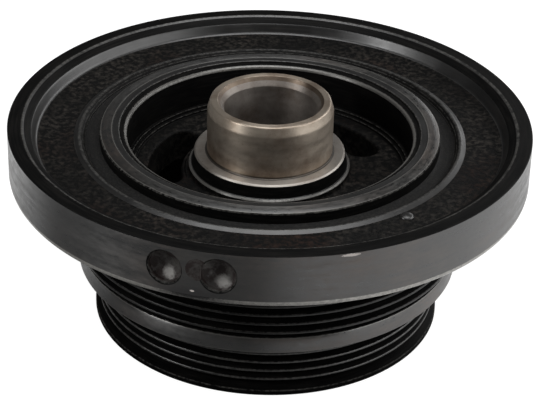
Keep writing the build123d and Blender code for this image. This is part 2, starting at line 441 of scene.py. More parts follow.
@dataclass
class Outline:
    """A turned outline as a chain of rounded corners, walked with the metal on its left.

    Attributes:
        closed: Whether the last corner runs on to the first.
        edge_fade: How far the rub on an edge, or the darkening in a corner, reaches along the faces beside
            it.
        arc_step: The largest turn in one step of a rounded corner.
        blend: The blend radius of a corner that doesn't have its own.
        sharp: The blend radius up to which an edge is fully rubbed, and a corner fully darkened.
        least_turn: The turn under which a corner is left as it is.
        corners: The corners so far.
    """

    closed: bool = False
    edge_fade: float = 0.35
    arc_step: float = 24.0
    blend: float = 0.15
    sharp: float = 0.6
    least_turn: float = 1.0
    corners: list[Corner] = field(default_factory=list)

    def run(self, finish: Finish, *places: tuple[float, ...]) -> None:
        """Adds corners whose following stretches share a finish.

        Args:
            finish: The finish.
            *places: Radius and height of each corner, its own blend radius where it has one, and how
                rubbed it is where that doesn't tell.
        """
        for radius, height, *own in places:
            self.corners.append(Corner(radius, height, finish, *(own or [self.blend])))

    def points(self) -> list[OutlinePoint]:
        """Works out the outline's points.

        Returns:
            The points in order, rounded corners as arcs.
        """
        made: list[OutlinePoint] = []
        count = len(self.corners)
        for i, corner in enumerate(self.corners):
            if not self.closed and i in (0, count - 1):
                made.append(OutlinePoint(corner.radius, corner.height, corner.finish, 0.0))
                continue
            made += self.rounded(self.corners[i - 1], corner, self.corners[(i + 1) % count])
        if self.closed:
            made.append(made[0])
        return made

    def rounded(self, before: Corner, corner: Corner, after: Corner) -> list[OutlinePoint]:
        """Works out the points of one rounded corner.

        Args:
            before: The corner before it.
            corner: The corner.
            after: The corner after it.

        Returns:
            A point where the rub or darkening starts, the arc, and a point where it ends.
        """
        here = Vector((corner.radius, corner.height))
        back = Vector((before.radius, before.height)) - here
        ahead = Vector((after.radius, after.height)) - here
        room_back, room_ahead = back.length, ahead.length
        back.normalize()
        ahead.normalize()
        turn = math.pi - back.angle(ahead)
        convex = ahead.x * back.y - ahead.y * back.x > 0
        if turn < math.radians(self.least_turn):
            return [OutlinePoint(corner.radius, corner.height, corner.finish, 0.0)]
        trim = min(corner.blend * math.tan(turn / 2), 0.49 * room_back, 0.49 * room_ahead)
        blend = trim / math.tan(turn / 2)
        centre = here + (back + ahead).normalized() * math.hypot(trim, blend)
        steps = max(1, math.ceil(math.degrees(turn) / self.arc_step))
        strength = min(1.0, self.sharp / blend) if corner.rub is None else corner.rub
        edge = strength if convex else -strength
        coming = corner.finish if before.finish is Finish.OPEN else before.finish
        going = before.finish if corner.finish is Finish.OPEN else corner.finish
        places: list[tuple[Vector, Finish, float]] = []
        reach = trim + self.edge_fade
        if room_back > 2.5 * reach:
            places.append((here + back * reach, coming, 0.0))
        first = here + back * trim - centre
        spin = turn if convex else -turn
        for k in range(steps + 1):
            at = centre + Matrix.Rotation(spin * k / steps, 2) @ first
            places.append((at, coming if k < steps / 2 else going, edge))
        if room_ahead > 2.5 * reach:
            places.append((here + ahead * reach, going, 0.0))
        made = [OutlinePoint(at.x, at.y, finish, strength) for at, finish, strength in places]
        made[-1] = OutlinePoint(made[-1].radius, made[-1].height, corner.finish, made[-1].edge)
        return made

    def mesh(self, name: str) -> bpy.types.Mesh:
        """Writes the points as a mesh in the XZ plane, with their finish and edge as attributes.

        Args:
            name: The mesh's name.

        Returns:
            The mesh.
        """
        points = self.points()
        mesh = bpy.data.meshes.new(name)
        mesh.from_pydata([(p.radius * MM, 0, p.height * MM) for p in points], [], [])
        finish = mesh.attributes.new("finish", "INT", "POINT")
        finish.data.foreach_set("value", [int(p.finish) for p in points])
        edge = mesh.attributes.new("edge", "FLOAT", "POINT")
        edge.data.foreach_set("value", [p.edge for p in points])
        return mesh

    def open_radii(self) -> list[tuple[float, float]]:
        """Radii of the two ends of each stretch that is left open, in order.

        Returns:
            The radius where each open stretch starts and where it ends.
        """
        points = self.points()
        return [(a.radius, b.radius) for a, b in zip(points, points[1:]) if a.finish is Finish.OPEN]


@dataclass(frozen=True)
class Window:
    """One kidney-shaped window through the web, centred on the X axis.

    Attributes:
        inner: Radius of its inner side.
        outer: Radius of its outer side.
        span: Angle that it takes up.
        corner: Radius of its corners.
        lip: Radius of the rounded edge at the top.
        draft: Slope of its wall, closing downwards.
        burr: Width of the broken edge at the bottom.
        edge_fade: How far the wear of an edge reaches along the faces beside it.
        under_fade: How far outside the window the wear of the bottom edge ends.
        top_wear: How worn the top edge is.
        bottom_wear: How worn the bottom edge is.
        side_steps: Steps along each curved side.
        corner_steps: Steps round each corner.
        lip_steps: Steps down the rounded edge.
        end_steps: Steps along the sector's sides, where the next one meets it.
    """

    inner: float = 32.4
    outer: float = 44.6
    span: float = 62.0
    corner: float = 5.4
    lip: float = 1.2
    draft: float = 3.0
    burr: float = 0.15
    edge_fade: float = 0.5
    under_fade: float = 0.6
    top_wear: float = 0.3
    bottom_wear: float = 0.5
    side_steps: int = 14
    corner_steps: int = 9
    lip_steps: int = 5
    end_steps: int = 6

    def ring(self, spread: float, height: float) -> list[Vector]:
        """Works out the window's outline at one level.

        Args:
            spread: How far outside the window's own outline it lies.
            height: The level.

        Returns:
            The points, counterclockwise from above.
        """
        flat = self.span / 2 + 90
        high, low = self.outer - self.corner, self.inner + self.corner
        out = self.span / 2 - math.degrees(math.asin(self.corner / high))
        back = self.span / 2 - math.degrees(math.asin(self.corner / low))
        points = [
            *self.arc(high, -out, -flat, -out, spread),
            *self.side(self.outer + spread, -out, out),
            *self.arc(high, out, out, flat, spread),
            *self.arc(low, back, flat, 180 + back, spread),
            *self.side(self.inner - spread, back, -back),
            *self.arc(low, -back, 180 - back, 360 - flat, spread),
        ]
        return [Vector((x, y, height)) * MM for x, y in points]

    def arc(self, radius: float, at: float, start: float, end: float, spread: float) -> Places:
        """Works out one rounded corner of the window.

        Args:
            radius: Radius of its centre about the shaft.
            at: Angle of its centre.
            start: The direction that it starts in.
            end: The direction that it ends in.
            spread: How far outside the window's own outline it lies.

        Returns:
            The points in order.
        """
        x, y = radius * math.cos(math.radians(at)), radius * math.sin(math.radians(at))
        count, reach = self.corner_steps, self.corner + spread
        turns = [math.radians(start + (end - start) * n / count) for n in range(count + 1)]
        return [(x + reach * math.cos(t), y + reach * math.sin(t)) for t in turns]

    def side(self, radius: float, start: float, end: float) -> Places:
        """Works out the points between the corners of a curved side.

        Args:
            radius: The side's radius about the shaft.
            start: The angle where it starts.
            end: The angle where it ends.

        Returns:
            The points in order, without the ends.
        """
        count = self.side_steps
        turns = [math.radians(start + (end - start) * n / count) for n in range(1, count)]
        return [(radius * math.cos(t), radius * math.sin(t)) for t in turns]

    def levels(self, top: float, bottom: float) -> list[tuple[float, float, float]]:
        """Works out the wall's levels, from the upper face over the rounded edge to the lower face.

        Args:
            top: Height of the web's upper face.
            bottom: Height of its lower face.

        Returns:
            How far outside the window each level lies, its height and how worn it is.
        """
        slope = math.tan(math.radians(self.draft))
        foot = -slope * (top - bottom)
        made = [(self.lip + self.edge_fade, top, 0.0)]
        for k in range(self.lip_steps + 1):
            turn = math.radians(90 * (1 - k / self.lip_steps))
            height = top - self.lip + self.lip * math.sin(turn)
            made.append((self.lip * (1 - math.cos(turn)), height, self.top_wear))
        made.append((foot + slope * self.edge_fade, bottom + self.edge_fade, 0.0))
        made.append((foot, bottom + self.burr, self.bottom_wear))
        made.append((foot + self.burr, bottom, self.bottom_wear))
        made.append((foot + self.under_fade, bottom, 0.0))
        return made

    def sector(self, top: float, bottom: float, floor: tuple[float, float], under: tuple[float, float],
               turns: list[float]) -> bpy.types.Mesh:
        """Makes the web's sector around the window, flat above and below.

        Args:
            top: Height of the web's upper face.
            bottom: Height of its lower face.
            floor: Inner and outer radius of the upper face.
            under: Inner and outer radius of the lower face.
            turns: The angles where the sector's rims have points, from one side to the other.

        Returns:
            The mesh, open at its four rims.
        """
        shape = bmesh.new()
        edge = shape.verts.layers.float.new("edge")
        rings = []
        for spread, height, wear in self.levels(top, bottom):
            ring = [shape.verts.new(p) for p in self.ring(spread, height)]
            for vert in ring:
                vert[edge] = wear
            rings.append(ring)
        for upper, lower in zip(rings, rings[1:]):
            for i, vert in enumerate(upper):
                j = (i + 1) % len(upper)
                shape.faces.new((vert, lower[i], lower[j], upper[j]))
        for ring, (inner, outer), height in ((rings[0], floor, top), (rings[-1], under, bottom)):
            border = self.border(shape, inner, outer, height, turns)
            loops = [shape.edges.new(ends) for ends in zip(border, border[1:] + border[:1])]
            loops += [shape.edges.get(ends) for ends in zip(ring, ring[1:] + ring[:1])]
            bmesh.ops.triangle_fill(shape, use_beauty=True, edges=loops)
        mesh = bpy.data.meshes.new("Web sector")
        shape.to_mesh(mesh)
        shape.free()
        return mesh

    def border(self, shape: bmesh.types.BMesh, inner: float, outer: float, height: float,
               turns: list[float]) -> list[bmesh.types.BMVert]:
        """Adds the points around a sector's flat face, in order.

        Args:
            shape: The mesh that takes them.
            inner: Radius of the inner rim.
            outer: Radius of the outer rim.
            height: The level.
            turns: The angles of the points on the rims.

        Returns:
            The new vertices.
        """
        steps = range(1, self.end_steps)
        places = [(outer, t) for t in turns]
        places += [(outer + (inner - outer) * k / self.end_steps, turns[-1]) for k in steps]
        places += [(inner, t) for t in reversed(turns)]
        places += [(inner + (outer - inner) * k / self.end_steps, turns[0]) for k in steps]
        points = [Vector((r * math.cos(t), r * math.sin(t), height)) * MM for r, t in places]
        return [shape.verts.new(point) for point in points]


def weld(pieces: list[bpy.types.Object], name: str) -> bpy.types.Object:
    """Joins pieces that share their edges into one closed piece with outward normals.

    Args:
        pieces: The pieces.
        name: The name of the result.

    Returns:
        The joined object.
    """
    first = pieces[0]
    if len(pieces) > 1:
        with bpy.context.temp_override(
            active_object=first, object=first, selected_objects=pieces, selected_editable_objects=pieces,
        ):
            bpy.ops.object.join()
    first.name = first.data.name = name
    shape = bmesh.new()
    shape.from_mesh(first.data)
    bmesh.ops.remove_doubles(shape, verts=shape.verts, dist=WELD)
    bmesh.ops.recalc_face_normals(shape, faces=shape.faces)
    loose = [e for e in shape.edges if len(e.link_faces) != 2]
    LOG.info("%s: %d open edges after welding", name, len(loose))
    shape.to_mesh(first.data)
    shape.free()
    return first


def shade(piece: bpy.types.Object, sharp_from: float = 38.0, flatness: int = 80) -> None:
    """Gives a piece clean shading: sharp where its faces turn hard, flat where they are flat.

    Args:
        piece: The object.
        sharp_from: The angle from which an edge is sharp.
        flatness: How far a large face outweighs the small ones beside it, up to 100.
    """
    piece.data.shade_smooth()
    piece.data.set_sharp_from_angle(angle=math.radians(sharp_from))
    weighted = piece.modifiers.new("Weighted normals", "WEIGHTED_NORMAL")
    weighted.mode = "FACE_AREA_WITH_ANGLE"
    weighted.weight = flatness
    weighted.keep_sharp = True
    bake_modifiers(piece)


@dataclass
class SubAssembly:
    """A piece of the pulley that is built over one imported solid.

    Attributes:
        trees: The Geometry Nodes trees.
        finishes: The material of each finish.
        segments: How many steps a full turn takes.
        start: Angle of the first step.
    """

    trees: Trees
    finishes: dict[Finish, bpy.types.Material]
    segments: int = 207
    start: float = -11.0

    node = ""

    def turn(self, name: str, outline: Outline) -> bpy.types.Object:
        """Turns an outline about the shaft.

        Args:
            name: The name of the piece.
            outline: Its outline.

        Returns:
            The piece.
        """
        piece = new_piece(name, outline.mesh(name))
        apply_tree(piece, self.trees.turned_body, self.settings())
        return piece

    def mark(self, name: str, outline: Outline, segments: int, place: Matrix) -> bpy.types.Object:
        """Turns the small closed solid of a mark, to be cut from the piece or joined to it.

        Args:
            name: The name of the solid.
            outline: Its outline.
            segments: How many steps a full turn of it takes.
            place: Its place on the piece, in metres.

        Returns:
            The solid.
        """
        solid = new_piece(name, outline.mesh(name))
        apply_tree(solid, self.trees.turned_body, {**self.settings(), "Segments": segments})
        solid.data.transform(place)
        return weld([solid], name)

    def materials(self) -> dict[str, bpy.types.Material]:
        """Gives the material inputs of every tree."""
        return {finish.name.title(): material for finish, material in self.finishes.items()}

    def settings(self) -> dict[str, Any]:
        """Gives the inputs that every tree that turns shares."""
        return {"Segments": self.segments, "Start Angle": math.radians(self.start), **self.materials()}

    def hand_over(self, piece: bpy.types.Object) -> bpy.types.Object:
        """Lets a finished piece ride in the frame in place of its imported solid.

        Args:
            piece: The piece.

        Returns:
            The piece.
        """
        low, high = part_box(self.node)
        places = [v.co for v in piece.data.vertices]
        over = max(
            max(max(p[i] for p in places) - high[i] for i in range(3)),
            max(low[i] - min(p[i] for p in places) for i in range(3)),
        )
        LOG.info("%s: %.3f mm past its solid's box", piece.name, over / MM)
        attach(piece, BODY)
        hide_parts(self.node)
        return piece


@dataclass
class HubCasting(SubAssembly):
    """The hub: sleeve, collar and boss, the web with its windows, both belt groove sets and the rim.

    Radii are measured from the shaft's axis and heights from the front face.
    """

    node = "hub"

    # Belt grooves, the same section in both sets
    rib_pitch: float = 3.56
    groove_depth: float = 3.1
    root_half: float = 0.25
    flank_angle: float = 20.0
    crest_rounding: float = 0.45

    # Front set, and the land below it
    front_rib_radius: float = 63.0
    front_first: float = 4.1
    front_ribs: int = 4
    front_land_radius: float = 64.6
    front_land_chamfer: float = 0.4

    # Land between the sets: a cylinder that rounds into a cone above it
    middle_radius: float = 70.5
    middle_bottom: float = 21.7
    middle_chamfer: float = 0.8
    middle_top: float = 25.7
    middle_rounding: float = 6.0
    cone_radius: float = 69.6

    # Rear set, and the drum's side above it, worn up to a height above the last groove
    rear_rib_radius: float = 70.8
    rear_first: float = 28.8
    rear_ribs: int = 5
    worn_side: float = 2.3
    worn_end: float = 0.1
    drum_top: float = 52.8
    drum_chamfer: float = 0.7

    # Neck and the rim above it, with its bright land and the set-down inside that
    neck_radius: float = 62.0
    rim_top: float = 73.8
    neck_bevel_width: float = 0.3
    neck_bevel_drop: float = 0.4
    crown_width: float = 1.7
    land_inner: float = 57.6
    set_down_width: float = 0.3
    set_down: float = 0.15
    step_radius: float = 54.9
    step_foot: float = 72.9
    slope_top: tuple[float, float] = (53.2, 72.6)
    slope_foot: tuple[float, float] = (52.4, 72.25)
    recess_edge: float = 71.6

    # Two ledges at the foot of the recess, and the web's floor
    ledge_radius: float = 49.8
    ledge_width: float = 1.2
    ledge_rise: float = 1.1
    web_top: float = 56.8
    web_bottom: float = 44.8
    window: Window = field(default_factory=Window)
    window_count: int = 3

    # Boss: shoulder, cone and machined collar
    shoulder_radius: float = 29.7
    shoulder_top: float = 59.8
    shoulder_chamfer: float = 0.6
    cone_foot: float = 28.5
    collar_radius: float = 27.7
    collar_top: float = 64.8
    collar_chamfer_width: float = 0.6
    collar_chamfer_drop: float = 0.55

    # Sleeve with its lead, and the bore with the stained and the clean part of its own
    sleeve_radius: float = 23.0
    sleeve_top: float = 85.0
    lead_length: float = 3.5
    lead_width: float = 1.0
    lead_edge: float = 0.3
    face_outer: float = 21.6
    face_inner: float = 19.3
    stain_foot: tuple[float, float] = (18.3, 83.63)
    bore_lead_foot: tuple[float, float] = (17.25, 82.2)
    bore_radius: float = 17.0
    bore_start: float = 81.8
    bore_wall: float = 80.8
    bore_floor: float = 33.0

    # Front side: the bolt's hole and seat, and the recess round it
    bolt_hole_radius: float = 9.5
    bolt_hole_chamfer: float = 0.8
    seat_height: float = 24.6
    seat_radius: float = 27.0
    seat_chamfer: float = 1.0
    seat_root: float = 29.5
    front_recess_radius: float = 55.0
    front_recess_lead: float = 1.0

    def groove_half(self, height: float) -> float:
        """Half a groove's width at a height above its root."""
        return self.root_half + height * math.tan(math.radians(self.flank_angle))

    def body(self) -> Outline:
        """Outlines everything from the last rear groove over the rim and the boss to the first front groove.

        Returns:
            The outline.
        """
        line = Outline()
        self.outline_drum(line)
        self.outline_rim(line)
        self.outline_boss(line)
        self.outline_front(line)
        return line

    def outline_drum(self, line: Outline) -> None:
        """Outlines the drum above its last groove, up to the neck.

        Args:
            line: The outline that it goes into.
        """
        last = self.rear_first + self.rear_ribs * self.rib_pitch
        side, top = self.rear_rib_radius, self.drum_top
        root, worn = side - self.groove_depth, last + self.worn_side
        line.run(Finish.PAINTED, (root, last), (root, last + self.root_half, 0.3))
        # The band above the last groove takes the same darker crest paint, painted shade under the flange.
        line.run(Finish.SHADED_CREST, (side, last + self.groove_half(self.groove_depth), 0.5), (side, worn))
        line.run(Finish.PAINTED, (side, worn + self.worn_end), (side, top - self.drum_chamfer))
        line.run(Finish.PAINTED, (side - self.drum_chamfer, top), (self.neck_radius, top, 1.2))

    def outline_rim(self, line: Outline) -> None:
        """Outlines the neck's top, the rim and the recess down to the web.

        Args:
            line: The outline that it goes into.
        """
        neck, top, low = self.neck_radius, self.rim_top, self.rim_top - self.set_down
        bevel, land = top - self.neck_bevel_drop, self.land_inner
        line.run(Finish.PAINTED, (neck, bevel - self.neck_bevel_width, 0.4))
        line.run(Finish.TURNED, (neck - self.neck_bevel_width, bevel, 0.4))
        line.run(Finish.TURNED, (neck - self.crown_width, top, 2.5))
        line.run(Finish.RUBBED, (land, top, 0.5), (land - self.set_down_width, low, 0.5))
        line.run(Finish.PAINTED, (self.step_radius, low, 0.3), (self.step_radius, self.step_foot))
        line.run(Finish.TURNED, (*self.slope_top, 0.5), (*self.slope_foot, 0.4))
        middle, wall = self.ledge_radius + self.ledge_width, self.ledge_radius + 2 * self.ledge_width
        lower, upper = self.web_top + self.ledge_rise, self.web_top + 2 * self.ledge_rise
        line.run(Finish.PAINTED, (wall, self.recess_edge, 0.5), (wall, upper), (middle, upper))
        line.run(Finish.PAINTED, (middle, lower), (self.ledge_radius, lower))
        line.run(Finish.OPEN, (self.ledge_radius, self.web_top, 0.7))

    def outline_boss(self, line: Outline) -> None:
        """Outlines the boss, the collar, the sleeve and the bore down to its floor.

        Args:
            line: The outline that it goes into.
        """
        shoulder, level, step = self.shoulder_radius, self.shoulder_top, self.shoulder_chamfer
        line.run(Finish.CAST, (shoulder, self.web_top, 1.4))
        line.run(Finish.TURNED, (shoulder, level - step, 0.3), (shoulder - step, level, 0.3))
        line.run(Finish.PAINTED, (self.cone_foot, level, 0.4))
        collar, level = self.collar_radius, self.collar_top
        line.run(Finish.COLLAR, (collar, level - self.collar_chamfer_drop, 0.3))
        line.run(Finish.COLLAR, (collar - self.collar_chamfer_width, level, 0.3))
        side, top, bore = self.sleeve_radius, self.sleeve_top, self.bore_radius
        line.run(Finish.BARE, (side, level, 0.6), (side, top - self.lead_length, 1.2))
        line.run(Finish.BARE, (side - self.lead_width, top - self.lead_edge, 0.6))
        line.run(Finish.BARE, (self.face_outer, top, 0.6))
        line.run(Finish.STAINED, (self.face_inner, top, 0.3))
        line.run(Finish.BORED, self.stain_foot, (*self.bore_lead_foot, 0.25))
        line.run(Finish.BORED, (bore, self.bore_start, 0.25), (bore, self.bore_wall), (bore, self.bore_floor))

    def outline_front(self, line: Outline) -> None:
        """Outlines the bolt's hole and seat, the front recess and the land up to the first groove.

        Args:
            line: The outline that it goes into.
        """
        hole, seat, land = self.bolt_hole_radius, self.seat_height, self.front_land_radius
        eased, broken = self.bolt_hole_chamfer, self.seat_chamfer
        line.run(Finish.BORED, (hole, self.bore_floor), (hole, seat + eased), (hole + eased, seat))
        line.run(Finish.BORED, (self.seat_radius - broken, seat), (self.seat_radius, seat + broken))
        line.run(Finish.OPEN, (self.seat_root, self.web_bottom, 3.4))
        wall, lead = self.front_recess_radius, self.front_recess_lead
        line.run(Finish.CAST, (wall, self.web_bottom, 5.0))
        line.run(Finish.TURNED, (wall, lead), (wall + lead, 0))
        root, first = self.front_rib_radius - self.groove_depth, self.front_first
        line.run(Finish.PAINTED, (land - self.front_land_chamfer, 0), (land, self.front_land_chamfer))
        line.run(Finish.PAINTED, (land, first - self.groove_half(land - root), 0.3))
        line.run(Finish.PAINTED, (root, first - self.root_half, 0.3), (root, first))

    def rib(self, top: float, height: float, crest: Finish) -> Outline:
        """Outlines one rib between two grooves, from the middle of one root to the middle of the next.

        Args:
            top: Radius of the rib.
            height: Height of the first root's middle.
            crest: Finish of the rib's top.

        Returns:
            The outline.
        """
        root, after = top - self.groove_depth, height + self.rib_pitch
        half, rounding = self.groove_half(self.groove_depth), self.crest_rounding
        line = Outline(edge_fade=0.2)
        line.run(Finish.PAINTED, (root, height), (root, height + self.root_half, 0.3))
        line.run(crest, (top, height + half, rounding))
        line.run(Finish.PAINTED, (top, after - half, rounding))
        line.run(Finish.PAINTED, (root, after - self.root_half, 0.3), (root, after))
        return line

    def middle(self) -> Outline:
        """Outlines the land between the two groove sets.

        Returns:
            The outline.
        """
        low, high = self.front_first + self.front_ribs * self.rib_pitch, self.rear_first
        low_root = self.front_rib_radius - self.groove_depth
        high_root = self.rear_rib_radius - self.groove_depth
        side, chamfer = self.middle_radius, self.middle_chamfer
        crest = low + self.groove_half(self.groove_depth)
        cone_end = high - self.groove_half(self.cone_radius - high_root)
        line = Outline()
        line.run(Finish.PAINTED, (low_root, low), (low_root, low + self.root_half, 0.3))
        line.run(Finish.RUBBED, (self.front_rib_radius, crest, self.crest_rounding))
        line.run(Finish.PAINTED, (self.front_rib_radius, self.middle_bottom, 0.4))
        line.run(Finish.TURNED, (side - chamfer, self.middle_bottom), (side, self.middle_bottom + chamfer))
        line.run(Finish.TURNED, (side, self.middle_top, self.middle_rounding))
        line.run(Finish.PAINTED, (self.cone_radius, cone_end, 0.4))
        line.run(Finish.PAINTED, (high_root, high - self.root_half, 0.3), (high_root, high))
        return line

    def ribs(self, name: str, outline: Outline, count: int) -> bpy.types.Object:
        """Repeats one rib along the shaft and turns it.

        Args:
            name: The name of the piece.
            outline: The rib's outline.
            count: How many ribs.

        Returns:
            The piece.
        """
        piece = new_piece(name, outline.mesh(name))
        inputs = {"Ribs": count, "Pitch": self.rib_pitch * MM, **self.settings()}
        apply_tree(piece, self.trees.belt_ribs, inputs)
        return piece

    def web(self, body: Outline) -> bpy.types.Object:
        """Makes the web between the rims that the turned body leaves open.

        Args:
            body: The turned body's outline.

        Returns:
            The piece.
        """
        (floor_out, floor_in), (under_in, under_out) = body.open_radii()
        half = math.pi / self.window_count
        steps = range(self.segments // self.window_count + 1)
        turns = [2 * math.pi * (k / self.segments) - half for k in steps]
        mesh = self.window.sector(
            self.web_top, self.web_bottom, (floor_in, floor_out), (under_in, under_out), turns,
        )
        finish = mesh.attributes.new("finish", "INT", "FACE")
        finish.data.foreach_set("value", [int(Finish.CAST)] * len(mesh.polygons))
        piece = new_piece("Web", mesh)
        mesh.transform(Matrix.Rotation(math.radians(self.start) + half, 4, "Z"))
        apply_tree(piece, self.trees.window_ring, {"Windows": self.window_count, **self.materials()})
        return piece

    def build(self) -> bpy.types.Object:
        """Builds the casting.

        Returns:
            The finished object.
        """
        body = self.body()
        front = self.rib(self.front_rib_radius, self.front_first, Finish.RUBBED)
        # The rear crests take the darker copy of the rubbed paint, as painted shade under the flange.
        rear = self.rib(self.rear_rib_radius, self.rear_first, Finish.SHADED_CREST)
        parts = [
            self.turn("Hub body", body),
            self.turn("Middle land", self.middle()),
            self.ribs("Front ribs", front, self.front_ribs),
            self.ribs("Rear ribs", rear, self.rear_ribs),
            self.web(body),
        ]
        piece = weld(parts, "hub-casting")
        shade(piece)
        return self.hand_over(piece)


@dataclass(frozen=True)
class Drilling:
    """A blind balance drilling in the flange's side.

    Attributes:
        angle: Where it is about the shaft.
        height: Where it is along the shaft.
        radius: Its radius.
        depth: How deep its straight wall goes, 0 where only the drill's point went in.
        reach: Radius of the surface that it starts from.
        point_angle: Angle of the drill's point.
        bevel: Depth of the broken edge at its mouth.
        run_out: How far its solid stands out of the surface.
        segments: How many steps a full turn of it takes.
    """

    operation = "DIFFERENCE"

    angle: float
    height: float
    radius: float
    depth: float
    reach: float = 95.2
    point_angle: float = 118.0
    bevel: float = 0.8
    run_out: float = 2.0
    segments: int = 72

    def solid(self, assembly: SubAssembly) -> bpy.types.Object:
        """Makes the solid that the drill removed, with its point and a broken edge at the mouth.

        Args:
            assembly: The sub-assembly that it is cut from.

        Returns:
            The solid.
        """
        point = self.radius / math.tan(math.radians(self.point_angle / 2))
        line = Outline(arc_step=45)
        line.run(Finish.DRILLED, (0, -self.depth - point))
        if self.depth > 0:
            mouth = self.radius + self.bevel + self.run_out
            line.run(Finish.DRILLED, (self.radius, -self.depth, 0.2))
            line.run(Finish.PAINTED, (self.radius, -self.bevel, 0.1), (mouth, self.run_out))
        else:
            line.run(Finish.DRILLED, (self.radius * (1 + self.run_out / point), self.run_out))
        line.run(Finish.DRILLED, (0, self.run_out))
        angle = math.radians(self.angle)
        place = Vector((self.reach * math.cos(angle), self.reach * math.sin(angle), self.height)) * MM
        turn = Matrix.Rotation(angle, 4, "Z") @ Matrix.Rotation(math.pi / 2, 4, "Y")
        return assembly.mark("Bit", line, self.segments, Matrix.Translation(place) @ turn)


@dataclass(frozen=True)
class Pip:
    """A low dome that the casting left on the flange's face.

    Attributes:
        angle: Where it is about the shaft.
        distance: How far from the shaft's axis it is.
        level: Height of the face that it stands on.
        radius: Radius of its foot.
        rise: How high it stands.
        root: How far its solid reaches into the face.
        flank: The corners of its round flank, from the foot up.
        segments: How many steps a full turn of it takes.
    """

    operation = "UNION"

    angle: float
    distance: float
    level: float
    radius: float = 2.5
    rise: float = 0.9
    root: float = 1.2
    flank: tuple[tuple[float, ...], ...] = ((2.42, 0.05), (1.95, 0.6, 0.9), (0.9, 0.86, 1.5))
    segments: int = 48

    def solid(self, assembly: SubAssembly) -> bpy.types.Object:
        """Makes the dome, with a foot that reaches into the face.

        Args:
            assembly: The sub-assembly that it is joined to.

        Returns:
            The solid.
        """
        line = Outline(arc_step=15)
        line.run(Finish.RUBBED, (0, -self.root), (self.radius, -self.root), *self.flank, (0, self.rise))
        angle = math.radians(self.angle)
        place = Vector((self.distance * math.cos(angle), self.distance * math.sin(angle), self.level)) * MM
        return assembly.mark("Dome", line, self.segments, Matrix.Translation(place))


@dataclass
class InertiaRing(SubAssembly):
    """The ring that carries the damper's mass, with its wide flange and balance drillings."""

    node = "inertia_ring"

    segments: int = 252

    # Bore round the rubber, and the collar at its foot
    bore_radius: float = 67.4
    bore_chamfer: float = 0.8
    bottom: float = 55.0
    collar_radius: float = 78.0
    collar_slope: float = 2.0

    # Flange, turned up to just under its edge, its rounded foot rubbed to bare metal as a painted highlight
    flange_radius: float = 95.2
    flange_bottom: float = 56.7
    flange_top: float = 76.8
    foot_rounding: float = 2.4
    foot_highlight_rub: float = 2.0
    edge_chamfer: float = 0.3
    edge_rounding: float = 0.15
    edge_rub: float = 0.1
    turned_to_edge: float = 0.5

    # Engine side: the land, the slope and the step down to the sunk face
    land_radius: float = 90.1
    land_edge_width: float = 0.6
    land_edge_drop: float = 0.3
    slope_start: tuple[float, float] = (89.2, 76.32)
    slope_foot: tuple[float, float] = (86.6, 74.7)
    face_radius: float = 84.9
    face_height: float = 70.8

    # Lip between the sunk face and the bore
    lip_outer: float = 71.4
    lip_land: tuple[float, float] = (69.0, 69.7)
    lip_inner: float = 68.1
    lip_height: float = 0.8

    marks: tuple[Drilling | Pip, ...] = (
        Drilling(angle=249.4, height=67.85, radius=5.9, depth=2.4),
        Drilling(angle=260.6, height=67.85, radius=5.9, depth=2.4),
        Drilling(angle=256.4, height=69.25, radius=4.2, depth=0.0),
        Pip(angle=310.2, distance=73.9, level=70.8),
    )

    def outline(self) -> Outline:
        """Outlines the ring.

        Returns:
            The outline.
        """
        line = Outline(closed=True)
        bore, chamfer, collar = self.bore_radius, self.bore_chamfer, self.collar_radius
        side, foot, top = self.flange_radius, self.flange_bottom, self.flange_top
        line.run(Finish.TURNED, (bore + chamfer, self.bottom), (collar, self.bottom, 0.8))
        line.run(Finish.TURNED, (collar + self.collar_slope, foot, 0.8))
        # The foot's rounding is rubbed to bare metal, a painted highlight.
        line.run(Finish.TURNED, (side, foot, self.foot_rounding, self.foot_highlight_rub))
        line.run(Finish.TURNED, (side, top - self.turned_to_edge))
        line.run(Finish.PAINTED, (side, top - self.edge_chamfer, self.edge_rounding, self.edge_rub))
        line.run(Finish.PAINTED, (side - self.edge_chamfer, top, self.edge_rounding, self.edge_rub))
        land, face, lip = self.land_radius, self.face_height, self.face_height + self.lip_height
        line.run(Finish.RUBBED, (land, top, 0.5))
        line.run(Finish.RUBBED, (land - self.land_edge_width, top - self.land_edge_drop, 0.5))
        line.run(Finish.PAINTED, self.slope_start)
        line.run(Finish.RUBBED, (*self.slope_foot, 1.6))
        line.run(Finish.CAST, (self.face_radius, face, 1.4))
        near, far = self.lip_land
        line.run(Finish.RUBBED, (self.lip_outer, face, 0.8), (far, lip, 0.8))
        line.run(Finish.PAINTED, (near, lip, 0.8), (self.lip_inner, face, 0.4))
        line.run(Finish.TURNED, (bore, face - chamfer), (bore, self.bottom + chamfer))
        return line

    def build(self) -> bpy.types.Object:
        """Builds the ring.

        Returns:
            The finished object.
        """
        piece = weld([self.turn("Ring", self.outline())], "inertia-ring-casting")
        for mark in self.marks:
            solid = mark.solid(self)
            change = piece.modifiers.new("Mark", "BOOLEAN")
            change.operation, change.solver, change.object = mark.operation, "EXACT", solid
            change.material_mode = "TRANSFER"
            bake_modifiers(piece)
            bpy.data.objects.remove(solid)
        shade(piece)
        return self.hand_over(piece)


